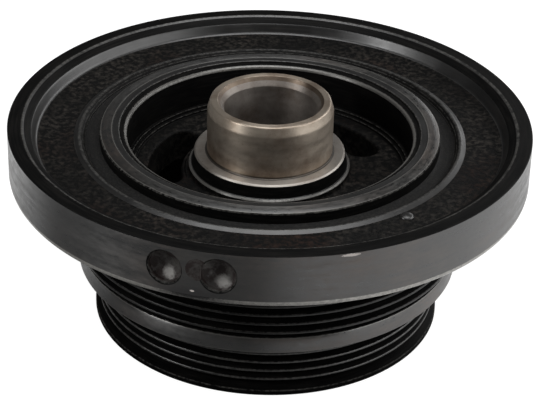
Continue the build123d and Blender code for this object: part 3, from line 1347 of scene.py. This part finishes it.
@dataclass
class RubberRing(SubAssembly):
    """The rubber between the hub and the inertia ring, bonded to both."""

    node = "rubber_ring"

    inner: float = 62.0
    outer: float = 67.4
    bottom: float = 56.0
    top: float = 69.5
    hollow_depth: float = 0.65
    hollow_edge: float = 1.2
    hollow_rounding: float = 2.0
    edge_rounding: float = 0.1

    def outline(self) -> Outline:
        """Outlines the rubber, hollow above and below where it shrank.

        Returns:
            The outline.
        """
        near, far = self.inner + self.hollow_edge, self.outer - self.hollow_edge
        low, high = self.bottom + self.hollow_depth, self.top - self.hollow_depth
        soft, crisp = self.hollow_rounding, self.edge_rounding
        line = Outline(closed=True)
        line.run(Finish.RUBBER, (self.inner, self.bottom, crisp), (near, low, soft), (far, low, soft))
        line.run(Finish.RUBBER, (self.outer, self.bottom, crisp), (self.outer, self.top, crisp))
        line.run(Finish.RUBBER, (far, high, soft), (near, high, soft), (self.inner, self.top, crisp))
        return line

    def build(self) -> bpy.types.Object:
        """Builds the rubber.

        Returns:
            The finished object.
        """
        piece = weld([self.turn("Rubber", self.outline())], "rubber-band")
        shade(piece)
        return self.hand_over(piece)


@dataclass(frozen=True)
class Spot:
    """A small patch of a surface, with a ragged edge.

    Attributes:
        at: Where it is, in millimetres.
        reach: How far it reaches along each axis, in millimetres.
        fade: How much of its reach it fades over.
    """

    at: Triple
    reach: Triple
    fade: float = 0.1


class ShaderGraph(Graph):
    """A material under construction, with what every finish here needs."""

    def __init__(self, name: str) -> None:
        """Makes an empty material.

        Args:
            name: The material's name.
        """
        self.material = bpy.data.materials.new(name)
        self.material.use_nodes = True
        super().__init__(self.material.node_tree)
        self.tree.nodes.clear()
        self.place = self.add("ShaderNodeTexCoord").outputs["Object"]

    def around(self, along: float) -> tuple[Socket, Socket]:
        """Gives coordinates in which marks left by turning are long and thin.

        Args:
            along: How fast the marks change around the shaft, against how fast they change across.

        Returns:
            A vector of radius, height and one part of the angle, and the angle's other part.
        """
        parts = self.add("ShaderNodeSeparateXYZ", {0: self.place}).outputs
        flat = self.add("ShaderNodeCombineXYZ", {"X": parts[0], "Y": parts[1]}).outputs[0]
        radius = self.add("ShaderNodeVectorMath", {0: flat}, operation="LENGTH").outputs["Value"]
        across = self.math("DIVIDE", parts[0], radius)
        ahead = self.math("DIVIDE", parts[1], radius)
        inputs = {"X": radius, "Y": parts[2], "Z": self.times(across, along)}
        return self.add("ShaderNodeCombineXYZ", inputs).outputs[0], self.times(ahead, along)

    def noise(self, scale: float, detail: float = 4.0, roughness: float = 0.55,
              vector: Optional[Socket] = None, fourth: Optional[Socket] = None) -> Socket:
        """Adds a noise between about 0 and 1.

        Args:
            scale: How many waves to the metre.
            detail: How many finer layers.
            roughness: The weight of the finer layers.
            vector: Its coordinates, where not the object's own.
            fourth: The fourth coordinate, which is scaled too.

        Returns:
            The noise's socket.
        """
        inputs: dict[str, Any] = {
            "Vector": vector or self.place, "Scale": scale, "Detail": detail, "Roughness": roughness,
        }
        if fourth is not None:
            inputs["W"] = fourth
        kind = "3D" if fourth is None else "4D"
        return self.add("ShaderNodeTexNoise", inputs, noise_dimensions=kind).outputs["Fac"]

    def spread(self, value: Socket, low: float, high: float, to_low: float = 0.0,
               to_high: float = 1.0) -> Socket:
        """Stretches a range of a value to another one and cuts off what is outside.

        Args:
            value: The value.
            low: Where the range starts.
            high: Where it ends.
            to_low: What it starts as.
            to_high: What it ends as.

        Returns:
            The new value's socket.
        """
        inputs = {0: value, 1: low, 2: high, 3: to_low, 4: to_high}
        return self.add("ShaderNodeMapRange", inputs).outputs[0]

    def blend(self, share: Socket, one: Any, other: Any) -> Socket:
        """Blends two colours.

        Args:
            share: How much of the second one there is.
            one: The first colour, a socket or three numbers.
            other: The second one.

        Returns:
            The blend's socket.
        """
        node = self.add("ShaderNodeMix", data_type="RGBA")
        for socket, value in ((node.inputs[0], share), (node.inputs[6], one), (node.inputs[7], other)):
            if isinstance(value, Socket):
                self.tree.links.new(value, socket)
            else:
                socket.default_value = (*value, 1.0) if isinstance(value, tuple) else value
        return node.outputs[2]

    def edge(self) -> Socket:
        """Reads how rubbed a place is, or, below 0, how darkened its corner is."""
        return self.add("ShaderNodeAttribute", attribute_name="edge").outputs["Fac"]

    def bump(self, height: Socket, strength: float, distance: float,
             normal: Optional[Socket] = None) -> Socket:
        """Adds a bump, over another one if given.

        Args:
            height: The relief.
            strength: How strongly it shows.
            distance: How deep it is, in millimetres.
            normal: The bump under it.

        Returns:
            The normal's socket.
        """
        inputs: dict[str, Any] = {"Height": height, "Strength": strength, "Distance": distance * MM}
        if normal is not None:
            inputs["Normal"] = normal
        return self.add("ShaderNodeBump", inputs).outputs[0]

    def spot(self, spot: Spot) -> Socket:
        """Marks a spot. Its edge lies where the distance from its middle and the noise add up to 1.5.

        Args:
            spot: The spot.

        Returns:
            A socket that is 1 on the spot and 0 off it.
        """
        back = tuple(-v * MM for v in spot.at)
        scale = tuple(1 / (v * MM) for v in spot.reach)
        offset = self.add("ShaderNodeVectorMath", {0: self.place, 1: back}, operation="ADD").outputs[0]
        near = self.add("ShaderNodeVectorMath", {0: offset, 1: scale}, operation="MULTIPLY").outputs[0]
        away = self.add("ShaderNodeVectorMath", {0: near}, operation="LENGTH").outputs["Value"]
        ragged = self.math("ADD", self.noise(1100.0, 3.0, 0.6), away)
        return self.spread(ragged, 1.5 - spot.fade, 1.5 + spot.fade, 1.0, 0.0)

    def either(self, *spots: Spot) -> Socket:
        """Marks two spots as one."""
        return self.math("MAXIMUM", *(self.spot(spot) for spot in spots))

    def surface(self, **inputs: Any) -> bpy.types.Material:
        """Ends the material with its surface.

        Args:
            **inputs: Inputs of the surface shader, with _ for a space.

        Returns:
            The material.
        """
        shader = self.add("ShaderNodeBsdfPrincipled", {k.replace("_", " "): v for k, v in inputs.items()})
        self.add("ShaderNodeOutputMaterial", {"Surface": shader.outputs[0]})
        return self.material


@dataclass(frozen=True)
class CastCoat:
    """Dark paint over rough cast iron.

    Attributes:
        name: The material's name.
        colour: The paint.
        dusty: Grey dust on the lumps.
        brown: Brown dust, which takes the grey one's place in patches.
        grain: How many lumps to the metre.
        gloss: How strongly it mirrors.
    """

    name: str = "cast-iron-painted"
    colour: Triple = (0.0018, 0.0018, 0.0018)
    dusty: Triple = (0.034, 0.030, 0.026)
    brown: Triple = (0.026, 0.014, 0.010)
    grain: float = 520.0
    gloss: float = 0.1

    def build(self) -> bpy.types.Material:
        """Builds the material.

        Returns:
            The material.
        """
        graph = ShaderGraph(self.name)
        lumps = graph.noise(self.grain, 5.0, 0.62)
        fine = graph.noise(self.grain * 4.5, 3.0, 0.6)
        cloud = graph.noise(38.0, 4.0, 0.6)
        tint = graph.noise(24.0, 3.0, 0.5)
        dust = graph.blend(graph.spread(tint, 0.5, 0.64), self.dusty, self.brown)
        share = graph.times(graph.spread(lumps, 0.45, 0.68), graph.spread(cloud, 0.32, 0.68, 0.15, 1.0))
        normal = graph.bump(lumps, 0.75, 0.35)
        normal = graph.bump(fine, 0.5, 0.06, normal)
        return graph.surface(
            Base_Color=graph.blend(share, self.colour, dust), Specular_IOR_Level=self.gloss,
            Roughness=graph.spread(cloud, 0.3, 0.7, 0.6, 0.75), Normal=normal,
        )


@dataclass(frozen=True)
class SmoothPaint:
    """Black paint over turned iron, thin enough to show faint rings.

    Attributes:
        name: The material's name.
        colour: The paint.
        worn: The paint where it is thin.
        chip: What its rubbed edges show.
        chipped: How much of a sharp edge is rubbed.
        gloss: How strongly it mirrors.
        roughness: Its roughness, at its smoothest and its roughest.
    """

    name: str = "turned-iron-painted"
    colour: Triple = (0.0022, 0.0022, 0.0022)
    worn: Triple = (0.013, 0.012, 0.011)
    chip: Triple = (0.06, 0.058, 0.054)
    chipped: float = 1.0
    gloss: float = 0.06
    roughness: tuple[float, float] = (0.42, 0.58)

    def build(self) -> bpy.types.Material:
        """Builds the material.

        Returns:
            The material.
        """
        graph = ShaderGraph(self.name)
        vector, fourth = graph.around(0.004)
        rings = graph.noise(1500.0, 4.0, 0.6, vector, fourth)
        cloud = graph.noise(70.0, 5.0, 0.62)
        chips = graph.noise(800.0, 4.0, 0.7)
        colour = graph.blend(graph.times(graph.spread(rings, 0.45, 0.7), cloud), self.colour, self.worn)
        rubbed = graph.spread(graph.edge(), 0.35, 1.0, 0.0, self.chipped)
        colour = graph.blend(graph.times(rubbed, graph.spread(chips, 0.42, 0.6)), colour, self.chip)
        normal = graph.bump(rings, 0.25, 0.03)
        normal = graph.bump(chips, 0.2, 0.05, normal)
        return graph.surface(
            Base_Color=colour, Roughness=graph.spread(cloud, 0.3, 0.7, *self.roughness),
            Specular_IOR_Level=self.gloss, Normal=normal,
        )


@dataclass(frozen=True)
class TurnedCoat:
    """Dark coating over turned iron, with the tool's rings showing through and its edges rubbed.

    Attributes:
        name: The material's name.
        colour: The coating.
        worn: The coating where it is thin, which also paints its right side lighter.
        warm: The same in its warmer patches.
        rubbed: What its rubbed edges show.
        bare: The metal where it is rubbed away; only the flange's foot is rubbed that far, as a painted
            highlight.
        corner_dark: What its concave corners are darkened to.
        nicks: The two nicks that the flange has taken.
        nicked: The metal in the nicks.
        low_dark_patch: A dark patch low on the side, under the drillings.
        low_dark_patch_colour: Its colour.
        index: How strongly the coating mirrors, as an index of refraction.
        painted_light_from_right: From where to where, along X in metres, the thin film is painted stronger,
            as painted light from the right.
    """

    name: str = "turned-iron-coated"
    colour: Triple = (0.009, 0.0088, 0.0085)
    worn: Triple = (0.062, 0.060, 0.056)
    warm: Triple = (0.085, 0.062, 0.048)
    rubbed: Triple = (0.16, 0.155, 0.145)
    bare: Triple = (0.6, 0.58, 0.54)
    corner_dark: Triple = (0.006, 0.006, 0.006)
    nicks: tuple[Spot, Spot] = (
        Spot((27.8, -91.0, 75.8), (3.6, 1.8, 0.5)),
        Spot((-24.0, -92.1, 60.9), (0.7, 0.8, 0.35)),
    )
    nicked: Triple = (0.7, 0.64, 0.6)
    low_dark_patch: Spot = Spot((-24.6, -92.0, 59.6), (13.0, 5.0, 2.4), 0.5)
    low_dark_patch_colour: Triple = (0.004, 0.003, 0.003)
    index: float = 1.8
    painted_light_from_right: tuple[float, float] = (-0.07, 0.04)

    def build(self) -> bpy.types.Material:
        """Builds the material.

        Returns:
            The material.
        """
        graph = ShaderGraph(self.name)
        vector, fourth = graph.around(0.004)
        rings = graph.noise(2600.0, 4.0, 0.65, vector, fourth)
        bands = graph.noise(420.0, 3.0, 0.6, vector, fourth)
        streaks = graph.noise(700.0, 4.0, 0.65, *graph.around(0.035))
        lines = graph.math("MULTIPLY_ADD", streaks, 0.5, graph.times(bands, 0.5))
        cloud = graph.noise(45.0, 5.0, 0.62)
        tint = graph.noise(16.0, 2.0, 0.5)
        chips = graph.noise(900.0, 4.0, 0.7)
        edge = graph.edge()

        # Painted light: the lighter film grows stronger along X, towards the right-hand lamps; the turning
        # marks in it are real.
        across = graph.add("ShaderNodeSeparateXYZ", {0: graph.place}).outputs[0]
        thin = graph.spread(across, *self.painted_light_from_right, 0.35, 1.0)
        thin = graph.times(graph.spread(cloud, 0.35, 0.65, 0.2, 1.0), thin)
        film = graph.times(graph.spread(lines, 0.4, 0.62), thin)
        worn = graph.blend(graph.spread(tint, 0.42, 0.6), self.worn, self.warm)
        colour = graph.blend(film, self.colour, worn)
        rub = graph.times(graph.spread(edge, 0.35, 1.0), graph.spread(chips, 0.35, 0.6, 0.4, 1.0))
        colour = graph.blend(rub, colour, self.rubbed)
        # Bare metal where the rub goes past 1, which only the flange's foot has: a painted highlight.
        bare = graph.times(graph.spread(edge, 1.0, 1.8, 0.0, 0.5), graph.spread(chips, 0.3, 0.6, 0.5, 1.0))
        colour = graph.blend(bare, colour, self.bare)
        # Darker in concave corners.
        colour = graph.blend(graph.spread(edge, -0.2, -1.0), colour, self.corner_dark)
        # A dark patch low on the side, under the drillings.
        colour = graph.blend(graph.spot(self.low_dark_patch), colour, self.low_dark_patch_colour)
        colour = graph.blend(graph.either(*self.nicks), colour, self.nicked)

        normal = graph.bump(rings, 0.3, 0.03)
        normal = graph.bump(cloud, 0.25, 0.3, normal)
        return graph.surface(
            Base_Color=colour, Roughness=graph.spread(lines, 0.38, 0.62, 0.25, 0.48), IOR=self.index,
            Metallic=graph.math("MAXIMUM", graph.times(rub, 0.6), bare), Anisotropic=0.75,
            Anisotropic_Rotation=0.25, Normal=normal,
        )


@dataclass(frozen=True)
class BareSteel:
    """Bare machined steel, a little stained.

    Attributes:
        name: The material's name.
        colour: The steel.
        stain: The steel where it is stained, and what it darkens to towards its foot.
        speck: Small dark specks in it.
        corner_dark: What its concave corners are darkened to.
        roughness: Its roughness.
        foot: How much darker it gets towards its foot.
        darker_low_heights: Where that darkening is full and where it ends, in metres.
    """

    name: str = "machined-steel"
    colour: Triple = (0.42, 0.36, 0.295)
    stain: Triple = (0.20, 0.148, 0.108)
    speck: Triple = (0.05, 0.042, 0.035)
    corner_dark: Triple = (0.02, 0.018, 0.016)
    roughness: float = 0.42
    foot: float = 0.0
    darker_low_heights: tuple[float, float] = (0.065, 0.0715)

    def build(self) -> bpy.types.Material:
        """Builds the material.

        Returns:
            The material.
        """
        graph = ShaderGraph(self.name)
        vector, fourth = graph.around(0.006)
        rings = graph.noise(3000.0, 4.0, 0.6, vector, fourth)
        bands = graph.noise(500.0, 2.0, 0.5, vector, fourth)
        cloud = graph.noise(60.0, 5.0, 0.65)
        specks = graph.noise(1400.0, 3.0, 0.7)
        height = graph.add("ShaderNodeSeparateXYZ", {0: graph.place}).outputs[2]
        # Darker towards the sleeve's foot, through more of the stain colour.
        foot = graph.spread(height, *self.darker_low_heights, self.foot, 0.0)
        stained = graph.math("MULTIPLY_ADD", foot, graph.noise(150.0), cloud)
        colour = graph.blend(graph.spread(stained, 0.45, 0.72), self.colour, self.stain)
        colour = graph.blend(graph.spread(specks, 0.62, 0.72, 0.0, 0.6), colour, self.speck)
        # Darker in concave corners.
        colour = graph.blend(graph.spread(graph.edge(), -0.2, -1.0, 0.0, 0.8), colour, self.corner_dark)
        rough = graph.math("ADD", graph.spread(bands, 0.3, 0.7, -0.06, 0.06), self.roughness)
        return graph.surface(
            Base_Color=colour, Roughness=rough, Metallic=0.85, Anisotropic=0.6, Anisotropic_Rotation=0.25,
            Normal=graph.bump(rings, 0.35, 0.02),
        )


@dataclass(frozen=True)
class DrilledIron:
    """Bare drilled iron that has begun to rust.

    Attributes:
        name: The material's name.
        colour: The iron.
        rust: Its rust.
        painted_lit_spots: Two bright places painted on the drillings' lower walls, painted light.
        painted_lit_colour: Their colour.
    """

    name: str = "drilled-iron"
    colour: Triple = (0.11, 0.106, 0.1)
    rust: Triple = (0.012, 0.005, 0.004)
    painted_lit_spots: tuple[Spot, Spot] = (
        Spot((-31.8, -85.5, 64.2), (1.9, 3.0, 1.7), 0.4),
        Spot((-13.6, -90.4, 64.0), (2.3, 3.0, 1.7), 0.4),
    )
    painted_lit_colour: Triple = (0.34, 0.33, 0.315)

    def build(self) -> bpy.types.Material:
        """Builds the material.

        Returns:
            The material.
        """
        graph = ShaderGraph(self.name)
        cloud = graph.noise(260.0, 5.0, 0.65)
        fine = graph.noise(2400.0, 3.0, 0.6)
        rusty = graph.spread(cloud, 0.38, 0.56, 0.2, 0.97)
        colour = graph.blend(rusty, self.colour, self.rust)
        # Painted light: two lit spots on the drillings' lower walls.
        colour = graph.blend(graph.either(*self.painted_lit_spots), colour, self.painted_lit_colour)
        return graph.surface(
            Base_Color=colour, Roughness=graph.spread(cloud, 0.4, 0.6, 0.35, 0.7),
            Metallic=graph.spread(rusty, 0.2, 0.9, 0.5, 0.1), Normal=graph.bump(fine, 0.35, 0.03),
        )


@dataclass(frozen=True)
class BlackRubber:
    """Black rubber, dusty and finely pitted.

    Attributes:
        name: The material's name.
        colour: The rubber.
        dusty: The dust in its pits.
        gloss: How strongly it mirrors.
    """

    name: str = "rubber"
    colour: Triple = (0.009, 0.009, 0.009)
    dusty: Triple = (0.032, 0.030, 0.028)
    gloss: float = 0.12

    def build(self) -> bpy.types.Material:
        """Builds the material.

        Returns:
            The material.
        """
        graph = ShaderGraph(self.name)
        pits = graph.noise(1500.0, 4.0, 0.65)
        cloud = graph.noise(120.0, 4.0, 0.6)
        colour = graph.blend(graph.times(graph.spread(pits, 0.45, 0.65), cloud), self.colour, self.dusty)
        return graph.surface(
            Base_Color=colour, Roughness=graph.spread(cloud, 0.3, 0.7, 0.6, 0.8),
            Specular_IOR_Level=self.gloss, Normal=graph.bump(pits, 0.6, 0.12),
        )


@dataclass(frozen=True)
class Paper:
    """The pale sheet that the pulley stands on, which looks white from afar and still takes its shadow.

    Attributes:
        name: The material's name.
        shadow: How light the sheet is to the lamps.
        glow: How white it looks on its own.
        grain: How much lighter its lighter places are.
        left_front_shade: The share of that glow that the pulley mirrors to the left and in front, a
            painted shade in its reflections there.
        left_shade_edge: From where to where, along X, that painted shade ends on the left.
        near_shade_edge: From where to where, along Y, it ends in front.
        shade: The radii between which the mirrored glow comes out of a painted shadow of the flange.
        shaded: The share of the mirrored glow in that painted shadow.
    """

    name: str = "paper"
    shadow: float = 0.18
    glow: float = 0.96
    grain: float = 1.02
    left_front_shade: float = 0.07
    left_shade_edge: tuple[float, float] = (-0.01, 0.06)
    near_shade_edge: tuple[float, float] = (-0.03, 0.06)
    shade: tuple[float, float] = (0.064, 0.088)
    shaded: float = 0.06

    def build(self) -> bpy.types.Material:
        """Builds the material.

        Returns:
            The material.
        """
        graph = ShaderGraph(self.name)
        path = graph.add("ShaderNodeLightPath").outputs
        bent = graph.math("MAXIMUM", path["Is Glossy Ray"], path["Is Transmission Ray"])
        # Camera rays see the full glow; glossy rays see it with painted shade in the pulley's reflections.
        seen = graph.math("MULTIPLY_ADD", bent, self.painted_reflection_shade(graph), path["Is Camera Ray"])
        grain = graph.noise(220.0, 3.0, 0.5)
        colour = graph.blend(grain, (self.shadow,) * 3, (self.shadow * self.grain,) * 3)
        diffuse = graph.add("ShaderNodeBsdfDiffuse", {"Color": colour}).outputs[0]
        light = graph.add("ShaderNodeEmission", {"Strength": graph.times(seen, self.glow)}).outputs[0]
        both = graph.add("ShaderNodeAddShader", {0: diffuse, 1: light}).outputs[0]
        graph.add("ShaderNodeOutputMaterial", {"Surface": both})
        return graph.material

    def painted_reflection_shade(self, graph: ShaderGraph) -> Socket:
        """Works out how much of the glow the pulley mirrors at each place, with painted shade to the left, in
        front and under the flange.

        Args:
            graph: The material under construction.

        Returns:
            The share of the glow.
        """
        parts = graph.add("ShaderNodeSeparateXYZ", {0: graph.place}).outputs
        radius = graph.add("ShaderNodeVectorMath", {0: graph.place}, operation="LENGTH").outputs["Value"]
        # Painted shade: the glow is dimmed to the left and in front, and under the flange as a painted
        # shadow.
        left, near = graph.spread(parts[0], *self.left_shade_edge), graph.spread(parts[1], *self.near_shade_edge)
        share = graph.spread(graph.math("MAXIMUM", left, near), 0.0, 1.0, self.left_front_shade, 1.0)
        return graph.times(share, graph.spread(radius, *self.shade, self.shaded, 1.0))


@dataclass(frozen=True)
class Softbox:
    """One area lamp that looks at the pulley.

    Attributes:
        name: The lamp's name.
        place: Where it hangs.
        size: Its width and height.
        power: Its power, in watts.
        target: What it looks at.
    """

    name: str
    place: Triple
    size: tuple[float, float]
    power: float
    target: Triple = (0.0, 0.0, 0.045)

    def build(self) -> None:
        """Hangs the lamp."""
        lamp = bpy.data.lights.new(self.name, "AREA")
        lamp.shape = "RECTANGLE"
        lamp.size, lamp.size_y = self.size
        lamp.energy = self.power
        holder = bpy.data.objects.new(self.name, lamp)
        holder.location = self.place
        aim = Vector(self.target) - Vector(self.place)
        holder.rotation_euler = aim.to_track_quat("-Z", "Y").to_euler()
        bpy.context.scene.collection.objects.link(holder)


@dataclass
class Studio:
    """The plain studio: a pale floor, soft light and the camera.

    Attributes:
        camera_at: Where the camera is.
        camera_to: The point in the middle of its picture.
        roll: How far it leans.
        lens: Its focal length, in millimetres.
        sensor: The width of its sensor, in millimetres.
        floor_reach: How far the sheet reaches to each side.
        ambient: How bright the room is around the softboxes.
        lamps: The softboxes.
    """

    camera_at: Vector = field(default_factory=lambda: Vector((0.00214, -0.66482, 0.42696)))
    camera_to: Vector = field(default_factory=lambda: Vector((0.00214, 0.0, 0.04312)))
    roll: float = 1.625
    lens: float = 135.56
    sensor: float = 36.0
    floor_reach: float = 8.0
    ambient: float = 0.03
    lamps: tuple[Softbox, ...] = (
        Softbox("Right window", (0.95, 0.0, 0.46), (1.9, 0.7), 10.5),
        Softbox("Left softbox", (-0.64, -0.34, 0.42), (0.20, 0.40), 2.6),
        Softbox("Overhead panel", (0.05, -0.06, 0.98), (0.84, 0.9), 7.8),
        Softbox("Back right strip", (0.45, 0.88, 0.30), (0.40, 0.30), 0.75),
        Softbox("Back panel", (0.0, 0.80, 0.55), (1.2, 0.6), 0.15),
    )

    def build(self) -> None:
        """Sets the floor, the light, the world and the camera."""
        self.lay_floor()
        for lamp in self.lamps:
            lamp.build()
        self.set_world()
        self.set_camera()

    def lay_floor(self) -> None:
        """Lays the sheet under the pulley."""
        mesh, far = bpy.data.meshes.new("Floor"), self.floor_reach
        mesh.from_pydata([(-far, -far, 0), (far, -far, 0), (far, far, 0), (-far, far, 0)], [], [(0, 1, 2, 3)])
        floor = new_piece("Floor", mesh)
        mesh.materials.append(Paper().build())

    def set_world(self) -> None:
        """Leaves the room around the softboxes dim."""
        world = bpy.data.worlds.new("Studio")
        world.use_nodes = True
        bpy.context.scene.world = world
        graph = Graph(world.node_tree)
        graph.tree.nodes.clear()
        light = graph.add("ShaderNodeBackground", {"Strength": self.ambient}).outputs[0]
        graph.add("ShaderNodeOutputWorld", {"Surface": light})

    def set_camera(self) -> None:
        """Stands the camera where the photograph was taken from."""
        camera = bpy.data.cameras.new("Camera")
        camera.lens, camera.sensor_width = self.lens, self.sensor
        holder = bpy.data.objects.new("Camera", camera)
        forward = (self.camera_to - self.camera_at).normalized()
        right = forward.cross(Vector((0, 0, 1))).normalized()
        up = right.cross(forward)
        lean = math.radians(self.roll)
        side = math.cos(lean) * right + math.sin(lean) * up
        top = math.cos(lean) * up - math.sin(lean) * right
        turn = Matrix((side, top, -forward)).transposed().to_4x4()
        holder.matrix_world = Matrix.Translation(self.camera_at) @ turn
        bpy.context.scene.collection.objects.link(holder)
        scene = bpy.context.scene
        scene.camera = holder
        scene.view_settings.view_transform = "Standard"


def make_finishes() -> dict[Finish, bpy.types.Material]:
    """Makes the material of each finish.

    Returns:
        The materials.
    """
    rubbed = SmoothPaint(
        name="turned-iron-rubbed", colour=(0.004, 0.004, 0.004), worn=(0.022, 0.020, 0.018), gloss=0.8,
        roughness=(0.28, 0.42),
    )
    # A darker, duller copy of the rubbed paint for the rear crests: painted shade under the flange.
    crest = SmoothPaint(
        name="turned-iron-shaded-crest", worn=(0.018, 0.017, 0.016), chipped=0.25, gloss=0.35,
        roughness=(0.3, 0.44),
    )
    bored = BareSteel(
        name="bored-steel", colour=(0.235, 0.213, 0.193), stain=(0.1, 0.076, 0.06), roughness=0.5,
    )
    collar = BareSteel(name="collar-steel", colour=(0.43, 0.40, 0.365), stain=(0.30, 0.26, 0.225))
    stained = BareSteel(name="stained-steel", colour=(0.165, 0.13, 0.10), stain=(0.05, 0.032, 0.022))
    looks = {
        Finish.CAST: CastCoat(),
        Finish.TURNED: TurnedCoat(),
        Finish.PAINTED: SmoothPaint(),
        Finish.BARE: BareSteel(foot=0.34),
        Finish.DRILLED: DrilledIron(),
        Finish.RUBBER: BlackRubber(),
        Finish.RUBBED: rubbed,
        Finish.BORED: bored,
        Finish.SHADED_CREST: crest,
        Finish.COLLAR: collar,
        Finish.STAINED: stained,
    }
    return {finish: look.build() for finish, look in looks.items()}


def main() -> None:
    """Builds the pulley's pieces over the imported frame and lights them."""
    logging.basicConfig(level=logging.INFO, format="%(name)s: %(message)s")
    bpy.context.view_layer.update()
    finishes = make_finishes()
    trees = Trees()
    for kind in (HubCasting, InertiaRing, RubberRing):
        piece = kind(trees, finishes).build()
        triangles = sum(len(face.vertices) - 2 for face in piece.data.polygons)
        LOG.info("%s: %d triangles on %s", piece.name, triangles, BODY)
    Studio().build()


if __name__ == "__main__":
    main()
